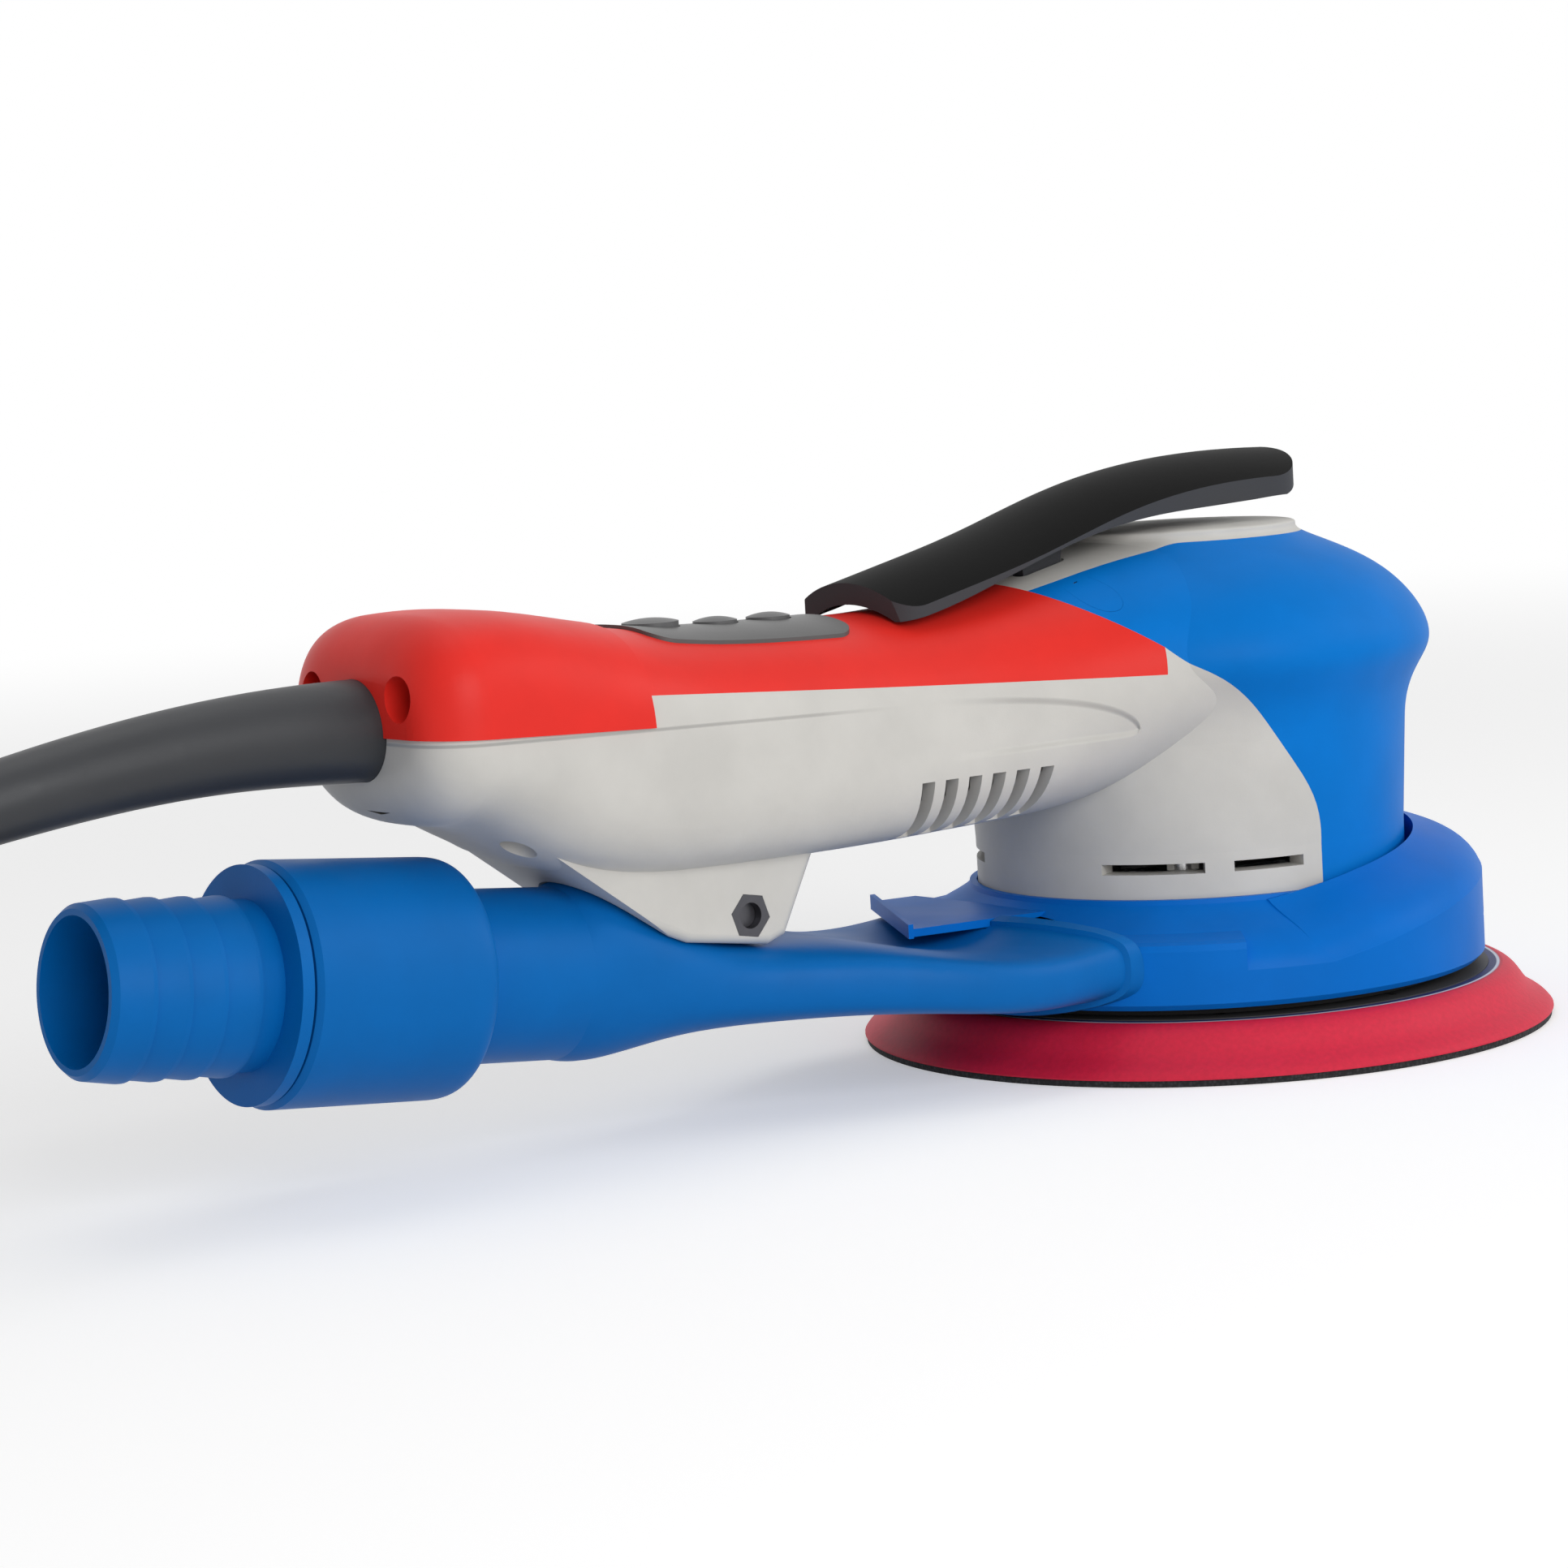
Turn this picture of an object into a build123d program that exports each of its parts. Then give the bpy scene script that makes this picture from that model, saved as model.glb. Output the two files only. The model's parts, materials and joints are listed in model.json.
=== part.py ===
"""Electric random orbital sander, 150 mm pad, with its dust duct, paddle lever and mains cord.

Frame: millimetres, +X to the front, +Y to the left, +Z up.  The origin is on the motor axis,
in the plane of the sanding face.  The hand grip and the dust duct run back along -X.
"""
from build123d import *
import math
import os

os.makedirs("parts", exist_ok=True)

# ---------------------------------------------------------------- clearances
face_gap = 0.3          # between bodies that move past each other
running_gap = 0.04      # radial, between a shaft and the bore it turns in
seat_gap = 0.05         # radial, between pieces pressed or screwed together

# ---------------------------------------------------------------- sanding pad
pad_radius = 75.0
hook_thickness = 1.4
pad_height = 11.4       # sanding face to the top of the backing plate
pad_rim_radius = 64.5   # top edge of the foam's flank
plate_radius = 61.5
plate_thickness = 2.2
dust_hole_radius = 5.0
inner_hole_circle = 31.0
inner_hole_count = 6
outer_hole_circle = 47.5
outer_hole_count = 9
stud_radius = 3.0
stud_head_radius = 8.0
stud_head_height = 1.6
stud_length = 9.0
orbit_offset = 2.5      # half of the 5 mm orbit

# ---------------------------------------------------------------- spindle and eccentric
spindle_radius = 5.0
spindle_flange_radius = 9.0
spindle_flange_thickness = 2.4
pad_bearing_radius = 13.0
pad_bearing_width = 8.0
eccentric_wall = 3.0
eccentric_web = 2.4
balance_radius = 32.0
balance_angle = 130.0
balance_thickness = 9.0

# ---------------------------------------------------------------- motor
shaft_radius = 6.0
shaft_tail_radius = 4.0
main_bearing_radius = 14.0
main_bearing_width = 8.0
tail_bearing_radius = 11.0
tail_bearing_width = 7.0
damper_wall = 1.6
motor_bore_radius = 41.0
end_plate_thickness = 3.0
fan_radius = 33.5
fan_depth = 8.0
fan_blades = 11
stator_slots = 12
stator_length = 24.0
stator_inner_radius = 24.0
stator_yoke = 4.5
tooth_width = 5.0
magnet_thickness = 3.0
air_gap = 0.8

# ---------------------------------------------------------------- head and grip
head_bottom = 33.4
head_radius = 46.4      # at the shroud's lip
head_neck_radius = 47.6
head_bulge_radius = 53.4
head_bulge_height = 82.5
head_top = 109.5
grip_skin = 2.2
housing_wall = 2.8
cover_wall = 2.6

# ---------------------------------------------------------------- handle
handle_rear = -205.5
handle_round = 10.5
handle_half_width = 28.5
cover_step = -159.0     # where the cover's lower edge steps up
lug_half_width = 17.0
bolt_x = -131.5
bolt_z = 43.0
bolt_radius = 2.5
nut_flats = 8.0
nut_thickness = 4.2
ear_half_width = 4.0
vent_count = 6
vent_pitch = 5.9
vent_width = 3.2
vent_first = -94.6
vent_top = 65.3
exhaust_slot_height = 2.2
exhaust_slot_z = 40.4

# ---------------------------------------------------------------- paddle lever
lever_rear = -91.0
lever_tip = 26.4
lever_half_width = 18.0
lever_thickness = 2.4    # skin over the pocket
lever_edge = 4.6        # depth of the rim round the pocket
lever_crown_radius = 30.0
lever_travel = 4.5      # degrees from rest to fully pressed
travel_gap = 0.35       # between the pressed lever and the head
lever_pin_x = -45.0
lever_pin_z = 98.6
lever_pin_radius = 2.0
lever_pin_half_length = 18.6
pin_plug_radius = 4.0
lever_lug_inner = 4.6
lever_lug_outer = 8.0
lever_lug_radius = 4.5
spring_radius = 3.3
spring_wire = 0.4
spring_turns = 5
magnet_x = -22.5
magnet_radius = 3.0
magnet_height = 2.6

# ---------------------------------------------------------------- shroud and dust duct
shroud_radius = 62.6
shroud_bottom = 13.6
shroud_wall = 2.4
lip_inner = 46.7
lip_outer = 48.4
lip_top = 34.2
flange_inner = 34.0
flange_bottom = 31.0
duct_slope = 6.44       # degrees that the duct's axis rises towards the hose
duct_wall = 2.0
duct_seam_x = -168.0
hose_mouth_x = -267.0
hose_mouth_z = 46.6
neck_radius = 16.6
collar_radius = 22.8
collar_length = 38.0
collar_shoulder = 7.0
barb_radius = 15.75
barb_rise = 0.75
barb_count = 5
barb_pitch = 6.9
hose_bore_radius = 13.6
flange_thickness = 2.4

# ---------------------------------------------------------------- keypad
keypad_front = -100.0
keypad_rear = -149.0
keypad_half_width = 16.0
keypad_thickness = 1.6
button_travel = 0.6

# ---------------------------------------------------------------- mains cord
boot_radius = 9.6
boot_end_radius = 6.2
cord_radius = 4.0
coil_pitch_across = 8.2
coil_pitch_up = 8.1
coil_columns = 4
coil_layers = 4
coil_middle_radius = 44.0
coil_centre = (-452.0, 74.0)

ON_BASE = (Align.CENTER, Align.CENTER, Align.MIN)
ON_AXIS = (Align.NONE, Align.NONE, Align.MIN)
parts = {}


def disc(radius, low, high, x=0.0, y=0.0):
    """Upright cylinder between two heights."""
    return Pos(x, y, low) * Cylinder(radius, high - low, align=ON_BASE)


def ring(outer, inner, low, high, x=0.0, y=0.0):
    """Upright ring between two heights."""
    return disc(outer, low, high, x, y) - disc(inner, low, high, x, y)


def block(x_low, x_high, y_low, y_high, z_low, z_high):
    """Box given by its two corners."""
    centre = Pos((x_low + x_high) / 2, (y_low + y_high) / 2, (z_low + z_high) / 2)
    return centre * Box(x_high - x_low, y_high - y_low, z_high - z_low)


def rod_x(radius, x_low, x_high, y, z):
    """Cylinder along X."""
    return Pos(x_low, y, z) * Rot(0, 90, 0) * Cylinder(radius, x_high - x_low, align=ON_BASE)


def rod_y(radius, y_low, y_high, x, z):
    """Cylinder along Y."""
    return Pos(x, y_low, z) * Rot(-90, 0, 0) * Cylinder(radius, y_high - y_low, align=ON_BASE)


def turned(*outline):
    """Solid of revolution about Z from (radius, height) corners."""
    return revolve(make_face(Plane.XZ * Polyline(*outline, close=True)), axis=Axis.Z)


def side_prism(outline, half_width):
    """Prism across the tool from an outline in the XZ plane."""
    return extrude(make_face(Plane.XZ * outline), half_width, both=True)


def around(item, count, start=0.0, centre=(0.0, 0.0)):
    """Copies of an item evenly about a vertical axis."""
    x, y = centre
    step = 360.0 / count
    return [item.moved(Pos(x, y, 0) * Rot(0, 0, start + step * k) * Pos(-x, -y, 0)) for k in range(count)]


def at(places, item):
    """One solid per place, as a single node."""
    return Compound(children=[item.moved(place).solids()[0] for place in places])


def add(name, shape):
    """Register one node and write its STEP file."""
    solids = shape.solids()
    parts[name] = solids[0] if len(solids) == 1 else Compound(children=list(solids))


# ---------------------------------------------------------------- handle and head forms
def oval(half, low, high, widest, top_fullness, bottom_fullness, count=16):
    """Closed superellipse about a vertical centre line, as (across, up) points."""
    points = []
    for k in range(count):
        angle = 2 * math.pi * k / count
        across, up = math.cos(angle), math.sin(angle)
        fullness = top_fullness if up >= 0 else bottom_fullness
        reach = high - widest if up >= 0 else widest - low
        points.append((
            half * math.copysign(abs(across) ** (2 / fullness), across),
            widest + reach * math.copysign(abs(up) ** (2 / fullness), up),
        ))
    return points


def cross_face(x, points, z=0.0, slope=0.0):
    """Face across the tool about the point (x, z), tipped by the slope in degrees."""
    lean = math.radians(slope)
    plane = Plane(origin=(x, 0, z), x_dir=(0, 1, 0), z_dir=(math.cos(lean), 0, -math.sin(lean)))
    return plane * make_face(Spline(*points, periodic=True))


# x, half width, underside, top, height of the widest line, fullness above, fullness below
handle_stations = [
    (handle_rear + handle_round, handle_half_width, 67.5, 106.3, 86.5, 3.2, 2.8),
    (handle_rear + 2 * handle_round, handle_half_width, 63.0, 106.2, 84.5, 3.2, 2.8),
    (-170.0, handle_half_width, 56.0, 104.0, 80.0, 3.0, 3.0),
    (-148.0, handle_half_width, 52.8, 100.0, 76.0, 2.6, 3.4),
    (-122.0, handle_half_width, 52.4, 98.2, 74.0, 2.3, 3.6),
    (-95.0, handle_half_width, 52.4, 97.8, 74.0, 2.2, 3.6),
    (-70.0, handle_half_width + 2.0, 52.6, 99.2, 76.0, 2.1, 3.0),
    (-45.0, handle_half_width + 8.5, 53.5, 104.0, 80.0, 2.0, 2.2),
    (-20.0, handle_half_width + 17.0, 56.0, 108.3, 82.0, 2.0, 1.9),
]


def rounded_rear(inset):
    """Rear end of the handle, rounded over by a quarter circle of insets."""
    _, half, low, high, widest, above, below = handle_stations[0]
    rounding = handle_round - inset
    faces = []
    for k in range(6):
        angle = math.pi / 2 * k / 5
        x = handle_rear + inset + rounding * (1 - math.sin(angle))
        draw_in = inset + rounding * (1 - math.cos(angle))
        points = oval(half - draw_in, low + draw_in, high - draw_in, widest, above, below)
        faces.append(cross_face(x, points))
    return loft(faces[::-1])


def handle_form(inset):
    """Handle as a loft through its stations, drawn in by the inset."""
    faces = []
    for x, half, low, high, widest, above, below in handle_stations:
        points = oval(half - inset, low + inset, high - inset, widest, above, below)
        faces.append(cross_face(x, points))
    return loft(faces) + rounded_rear(inset)


def head_form(inset):
    """Head as a revolve: straight lower barrel, waist, bulge and dome."""
    top = head_top - inset
    bulge = head_bulge_radius - inset
    neck = head_neck_radius - inset
    foot = head_radius - inset
    side = Spline((neck, 66.0), (bulge, head_bulge_height), (bulge * 0.82, 97.9 - inset * 0.7),
                  (bulge * 0.5, 106.9 - inset), (0, top), tangents=[(0.06, 1), (-1, 0)])
    outline = Polyline((0, top), (0, head_bottom), (foot, head_bottom), (foot, head_bottom + 10.0),
                       (neck, 66.0)) + side
    return revolve(make_face(Plane.XZ * outline), axis=Axis.Z)


# side outline (x, z) of the seam below the cover and of the seam behind the blue grip
cover_seam = [(-122.0, 86.2), (-82.0, 83.5), (-39.5, 81.5)]
grip_seam = [(-7.0, 52.5), (-13.0, 62.5), (-19.5, 71.6), (-25.4, 77.2), (-32.0, 81.6)]
corner_top = (-39.0, 87.0)
roof_corner = (-57.0, 101.0)
beyond = 140.0          # well outside the tool


def cover_zone():
    """Everything above the red cover's seam."""
    lower = Polyline((handle_rear - 20, beyond), (handle_rear - 20, 86.3), (cover_step, 83.0),
                     (cover_step, 89.0))
    seam = Spline((cover_step, 89.0), *cover_seam)
    front = Polyline(cover_seam[-1], corner_top, roof_corner, (roof_corner[0] - 5, beyond),
                     (handle_rear - 20, beyond))
    return side_prism(lower + seam + front, beyond)


def grip_zone():
    """Everything ahead of the blue grip's seam."""
    foot = (-5.5, head_bottom + 11.0)
    seam = Spline(foot, *grip_seam, corner_top, tangents=[(0, 1), (-0.7, 0.72)])
    rest = Polyline(corner_top, roof_corner, (roof_corner[0] - 5, beyond), (beyond, beyond), (beyond, 0),
                    (foot[0], 0), foot)
    return side_prism(seam + rest, beyond)


roof_radius = 27.2      # round front of the grey panel on the head's roof
roof_strip = [(-10.0, 20.0), (-77.0, 12.4)]
roof_blend = 12.0


def roof_zone():
    """Upright keyhole that keeps the roof panel of the housing clear of the grip."""
    strip = make_face(Polyline(*roof_strip, *[(x, -y) for x, y in reversed(roof_strip)], close=True))
    plan = Circle(roof_radius) + strip
    return extrude(fillet(plan.vertices().filter_by_position(Axis.X, -26, -14), roof_blend), beyond)


def plan_prism(x_low, x_high, half_width, corner, low, high):
    """Upright prism with a rounded rectangle as its plan."""
    plan = Pos((x_low + x_high) / 2, 0) * RectangleRounded(x_high - x_low, 2 * half_width, corner)
    return Pos(0, 0, low) * extrude(plan, high - low)


# ---------------------------------------------------------------- stack of heights
pad_seat = pad_height
flange_top = pad_seat + spindle_flange_thickness
pad_bearing_low = flange_top + face_gap
pad_bearing_top = pad_bearing_low + 2 * pad_bearing_width + face_gap
end_plate_low = head_bottom
end_plate_top = end_plate_low + end_plate_thickness
web_top = end_plate_low - face_gap
main_bearing_top = end_plate_top + main_bearing_width
fan_blade_top = main_bearing_top + 0.8
fan_top = fan_blade_top + 1.6
stator_low = fan_top + 3.2
stator_top = stator_low + stator_length
tail_seat_low = stator_top + 12.0
tail_bearing_low = tail_seat_low + 1.5
tail_bearing_top = tail_bearing_low + tail_bearing_width
cavity_top = tail_bearing_top + 1.0
stator_radius = motor_bore_radius - face_gap
upper_cavity_radius = motor_bore_radius - 4.0
screw_circle = 38.0
screw_radius = 2.0
hub_radius = main_bearing_radius + 3.5
tail_hub_radius = tail_bearing_radius + damper_wall + 2.9


def head_cavity():
    """Motor bore, the space over the motor and the seat of the tail bearing."""
    bore = turned((0, head_bottom - 1), (motor_bore_radius, head_bottom - 1), (motor_bore_radius, stator_top),
                  (upper_cavity_radius, stator_top), (upper_cavity_radius, tail_seat_low),
                  (upper_cavity_radius - 8, cavity_top), (tail_hub_radius, cavity_top),
                  (tail_hub_radius, tail_seat_low - 2), (0, tail_seat_low - 2))
    seat = disc(tail_bearing_radius + damper_wall, tail_seat_low - 3, tail_bearing_top)
    return bore + seat


def handle_cavity():
    """Faceted space inside the grip of the handle, and the wire passage from it to the head."""
    rear = handle_rear + housing_wall
    front = -(motor_bore_radius + 21)
    faces = []
    for x, half, low, high, widest, above, below in [handle_stations[0]] + handle_stations:
        points = oval(half - housing_wall, low + housing_wall, high - housing_wall, widest, above, below, 12)
        plane = Plane(origin=(x, 0, 0), x_dir=(0, 1, 0), z_dir=(1, 0, 0))
        faces.append(plane * make_face(Polyline(*points, close=True)))
    tail = Pos(housing_wall - handle_round, 0, 0) * scale(faces[0], (1, 0.72, 1))
    hollow = loft([tail] + faces[1:], ruled=True) & block(rear, front, -beyond, beyond, 0, beyond)
    passage = block(front - 5, -(upper_cavity_radius - 5), -12, 12, stator_top - 2, stator_top + 9)
    return hollow, passage


# ---------------------------------------------------------------- dust duct forms
slope_tan = math.tan(math.radians(duct_slope))
slope_cos = math.cos(math.radians(duct_slope))
slope_sin = math.sin(math.radians(duct_slope))
duct_frame = Plane(origin=(hose_mouth_x, 0, hose_mouth_z), x_dir=(0, 1, 0), z_dir=(slope_cos, 0, -slope_sin))


def axis_height(x):
    """Height of the duct's axis at x."""
    return hose_mouth_z - slope_tan * (x - hose_mouth_x)


# x, half width, bottom and top relative to the duct's axis, fullness
duct_stations = [
    (duct_seam_x, neck_radius, -neck_radius, neck_radius, 2.0),
    (-152.0, neck_radius + 0.8, -15.0, 13.4, 2.3),
    (-137.0, neck_radius + 3.2, -11.6, 6.8, 2.8),
    (-120.0, neck_radius + 8.4, -9.8, 5.8, 3.4),
    (-104.0, neck_radius + 14.8, -8.8, 5.4, 4.0),
    (-74.0, neck_radius + 21.6, -8.7, 4.2, 4.6),
    (-42.0, neck_radius + 23.6, -7.0, 4.6, 4.8),
]


def duct_form(inset, widen=0.0):
    """Dust duct from the round neck to the flat mouth, drawn in by the inset."""
    faces = []
    for x, half, low, high, fullness in duct_stations:
        middle = (low + high) / 2
        points = oval(half - inset + widen, low + inset, high - inset, middle, fullness, fullness)
        faces.append(cross_face(x, points, axis_height(x), duct_slope))
    return loft(faces)


# ---------------------------------------------------------------- housing, cover and grip
outer_body = handle_form(0) + head_form(0)
handle_hollow, wire_passage = handle_cavity()
head_hollow = head_cavity()

rear_screw_y = 15.3
rear_screw_z = 92.6
rear_screw_head = 4.0
rear_pillar_x = -191.5
rear_pillar_depth = 5.0
floor_screw_x = -181.0
floor_screw_y = 13.0
boot_z = 86.3
board_z = 66.0
board_thickness = 1.6
board_front = -112.0
board_rear = -176.0
board_half_width = 19.0
board_post_radius = 2.4

duct_envelope = duct_form(-0.5)
lug_outline = Polyline((-178.0, 62.0), (-150.0, 41.4), (-146.0, 39.6), (-127.0, 36.6), (-122.8, 38.0),
                       (-114.0, 55.0), (-118.0, 64.0), close=True)
lug = side_prism(lug_outline, lug_half_width)
lug = fillet(lug.edges().filter_by(GeomType.LINE).filter_by(lambda e: abs(e.tangent_at(0).Y) < 0.1
             and e.center().Z < 50), 2.0)
bolt_head_depth = nut_thickness
bolt_clear_radius = bolt_radius + seat_gap
nut_radius = nut_flats / 2 / math.cos(math.radians(30))


def hexagon(radius, y_low, y_high, x, z, turn):
    """Hexagonal prism along Y."""
    plane = Plane(origin=(x, y_low, z), x_dir=(1, 0, 0), z_dir=(0, 1, 0))
    return extrude(plane * Rot(0, 0, turn) * RegularPolygon(radius, 6), y_high - y_low)


def sector(outer, inner, low, high, start, end):
    """Ring sector between two angles."""
    pie = Pos(0, 0, low) * Rot(0, 0, start) * Cylinder(outer, high - low, end - start, align=ON_AXIS)
    return pie - disc(inner, low - 1, high + 1)


vents = []
for k in range(vent_count):
    x = vent_first + vent_pitch * k
    for side in (-1, 1):
        y = side * (handle_half_width - 1.0)
        vents.append(block(x - vent_width / 2, x + vent_width / 2, y - 9, y + 9, 40, vent_top))
exhaust_slots = []
for side in (0, 180):
    for start, end in ((-156, -129), (-121.5, -102.5)):
        slot = sector(head_bulge_radius, motor_bore_radius - 2, exhaust_slot_z - exhaust_slot_height / 2,
                      exhaust_slot_z + exhaust_slot_height / 2, start, end)
        exhaust_slots.append(slot if side == 0 else mirror(slot, Plane.XZ))

lever_slot = plan_prism(lever_pin_x - 6.5, lever_pin_x + 6.5, lever_lug_outer + 0.8, 2.0, lever_pin_z - 7,
                        beyond)

rear_screw_sides = (-rear_screw_y, rear_screw_y)
floor_screw_sides = (-floor_screw_y, floor_screw_y)
pillars = [block(rear_pillar_x, rear_pillar_x + rear_pillar_depth, y - 4.5, y + 4.5, 50, rear_screw_z + 5)
           for y in rear_screw_sides]
floor_boss_top = 69.2
floor_head_seat = 66.9
floor_bosses = [disc(5.0, 50, floor_boss_top, floor_screw_x, y) for y in floor_screw_sides]
board_places = [(x, y) for x in (board_rear + 5, board_front - 5)
                for y in (-board_half_width + 4, board_half_width - 4)]
board_posts = [disc(board_post_radius, 50, board_z, x, y) for x, y in board_places]
plate_places = [(screw_circle * math.cos(math.radians(a)), screw_circle * math.sin(math.radians(a)))
                for a in (45, 135, 225, 315)]
boss_radius = 3.4
boss_top = end_plate_top + 12.0
plate_bosses = [disc(boss_radius, end_plate_top, boss_top, x, y) for x, y in plate_places]
bolt_hole = rod_y(bolt_clear_radius, -lug_half_width - 1, lug_half_width + 1, bolt_x, bolt_z)
nut_pocket = hexagon(nut_radius + seat_gap, -lug_half_width - 1, nut_thickness - lug_half_width, bolt_x,
                     bolt_z, 11)
bolt_pocket = rod_y(4.3, lug_half_width - bolt_head_depth, lug_half_width + 1, bolt_x, bolt_z)
ear_slot = block(bolt_x - 13, bolt_x + 12, -ear_half_width - face_gap, ear_half_width + face_gap, 30, 50.5)
boot_hole = rod_x(boot_radius + seat_gap, handle_rear - 1, handle_rear + 8, 0, boot_z)
plate_screw_holes = [disc(screw_radius, end_plate_top - 1, end_plate_top + 9, x, y) for x, y in plate_places]
rear_screw_holes = [rod_x(1.5, rear_pillar_x - 1, rear_pillar_x + rear_pillar_depth + 1, y, rear_screw_z)
                    for y in rear_screw_sides]
floor_screw_holes = [disc(3.4, 40, floor_head_seat, floor_screw_x, y) + disc(1.6, 60, 70, floor_screw_x, y)
                     for y in floor_screw_sides]
board_screw_holes = [disc(1.0, board_z - 5.5, board_z + 1, x, y) for x, y in board_places]
plug_seat = lever_pin_half_length + 0.4
pin_hole = rod_y(lever_pin_radius + seat_gap, -plug_seat, plug_seat, lever_pin_x, lever_pin_z)
plug_rods = [rod_y(radius, low, high, lever_pin_x, lever_pin_z)
             for radius in (pin_plug_radius, pin_plug_radius - seat_gap)
             for low, high in ((-beyond, -plug_seat), (plug_seat, beyond))]
plug_holes = plug_rods[:2]

# posts of the cover, between it and the housing's floor screws and under it for the keypad's board
floor_posts = [disc(3.8, floor_boss_top, 103, floor_screw_x, y) for y in floor_screw_sides]
floor_post_holes = [disc(1.5, floor_boss_top - 1, 80, floor_screw_x, y) for y in floor_screw_sides]
switch_board_z = 86.4
switch_board_top = switch_board_z + board_thickness
switch_board_ends = (-150.0, -98.0)
switch_board_half_width = 13.0
switch_posts = [disc(2.2, switch_board_top, 110, x, y)
                for x in (switch_board_ends[0] + 3, switch_board_ends[1] - 3)
                for y in (3 - switch_board_half_width, switch_board_half_width - 3)]
screw_tubes = [rod_x(6.2, handle_rear + 1, rear_pillar_x - face_gap, y, rear_screw_z)
               for y in rear_screw_sides]
screw_wells = [rod_x(rear_screw_head + 0.3, handle_rear - 1, rear_pillar_x - 3.0, y, rear_screw_z)
               + rod_x(1.7, rear_pillar_x - 5, rear_pillar_x + 1, y, rear_screw_z) for y in rear_screw_sides]

# plan and height of the keypad and its buttons
keypad_plan = plan_prism(keypad_rear, keypad_front, keypad_half_width, 5.0, 85, beyond)
keypad_floor = handle_form(keypad_thickness - 0.6)
keypad_top = handle_form(-0.7)
button_places = {"power_button": (-139.0, 5.6), "speed_down_button": (-123.5, 4.4),
                 "speed_up_button": (-110.5, 4.4)}
button_holes = [disc(radius + face_gap, 80, beyond, x, 0) for x, radius in button_places.values()]

red_zone = cover_zone()
grip_cutter = grip_zone() - head_form(grip_skin) - roof_zone()

raised_rear = keypad_top & block(handle_rear - 5, cover_step, -beyond, beyond, 0, beyond)
cover = (outer_body + raised_rear) & (red_zone + floor_posts)
cover = cover - ([handle_hollow - screw_tubes - floor_posts - switch_posts, keypad_plan - keypad_floor,
                  boot_hole]
                 + screw_wells + button_holes + floor_post_holes)
keypad = (keypad_plan & keypad_top) - keypad_floor - button_holes

body_shell = (outer_body + (lug - duct_envelope)) - [
    red_zone - pillars, head_hollow - plate_bosses, wire_passage,
    handle_hollow - pillars - board_posts - floor_bosses]
grip = (body_shell & grip_cutter) - plug_holes - pin_hole
housing = body_shell - (vents + exhaust_slots + plate_screw_holes + rear_screw_holes + floor_screw_holes
                        + board_screw_holes
                        + [grip_cutter, lever_slot, ear_slot, bolt_hole, nut_pocket, bolt_pocket, boot_hole,
                           pin_hole]
                        + plug_holes)
for name, shape in (("housing", housing), ("grip", grip), ("cover", cover), ("keypad", keypad)):
    print(name, shape.volume, [round(x.volume) for x in shape.solids()], shape.is_valid)
add("main_housing", housing)
add("handle_cover", cover)
add("head_grip", grip)
add("keypad", keypad)
add("pin_plugs", outer_body & (plug_rods[2] + plug_rods[3]))


def bearing(outer, inner, low, high, x=0.0):
    """Closed ball bearing: one ring with the shield sunk between its races."""
    shield_depth = 0.4
    body = ring(outer, inner, low, high, x)
    for face_low, face_high in ((low - 1, low + shield_depth), (high - shield_depth, high + 1)):
        body -= ring(outer - 2.0, inner + 1.8, face_low, face_high, x)
    return body


def screw(shank_radius, length, head_radius, head_height):
    """Socket screw standing head up, with the underside of its head at the origin."""
    body = disc(shank_radius, -length, 0.5) + disc(head_radius, 0, head_height)
    socket = Pos(0, 0, head_height * 0.4) * extrude(RegularPolygon(head_radius * 0.55, 6), head_height)
    return body - socket


# ---------------------------------------------------------------- pad assembly, centred on the orbit's offset
def pad_disc(radius, low, high):
    """Disc about the pad's own axis."""
    return disc(radius, low, high, orbit_offset)


dust_hole = disc(dust_hole_radius, -1, pad_height + 1)
dust_holes = around(Pos(orbit_offset + inner_hole_circle, 0, 0) * dust_hole, inner_hole_count, 0,
                    (orbit_offset, 0))
dust_holes += around(Pos(orbit_offset + outer_hole_circle, 0, 0) * dust_hole, outer_hole_count, 10,
                     (orbit_offset, 0))
plate_low = pad_height - plate_thickness
foam_top = pad_height - 0.2
flank = Spline((pad_radius, hook_thickness + 0.3), (pad_radius - 1.4, 3.2), (pad_radius - 4.4, 5.2),
               (pad_radius - 7.4, 9.2), (pad_rim_radius, foam_top))
foam_outline = Polyline((pad_rim_radius, foam_top), (0, foam_top), (0, hook_thickness),
                        (pad_radius, hook_thickness), (pad_radius, hook_thickness + 0.3)) + flank
foam = Pos(orbit_offset, 0, 0) * revolve(make_face(Plane.XZ * foam_outline), axis=Axis.Z)
stud_recess = pad_disc(stud_head_radius + seat_gap, plate_low - stud_head_height, plate_low + 1)
plate_recess = pad_disc(plate_radius + seat_gap, plate_low, pad_height + 1)
add("pad_foam", foam - (dust_holes + [plate_recess, stud_recess]))
add("hook_face", pad_disc(pad_radius - 0.4, 0, hook_thickness) - dust_holes)
stiffeners = around(Pos(orbit_offset, 0, 0) * block(14, plate_radius - 4, -0.9, 0.9, pad_height - 0.7,
                                                    pad_height + 1),
                    9, 30, (orbit_offset, 0))
add("pad_plate", pad_disc(plate_radius, plate_low, pad_height)
    - (dust_holes + stiffeners + [pad_disc(stud_radius + seat_gap, plate_low - 1, pad_height + 1)]))
stud = disc(stud_radius, plate_low - 0.5, pad_height + stud_length)
stud_socket = extrude(RegularPolygon(stud_radius, 6), 1.0)
stud_head = disc(stud_head_radius, plate_low - stud_head_height, plate_low)
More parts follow.
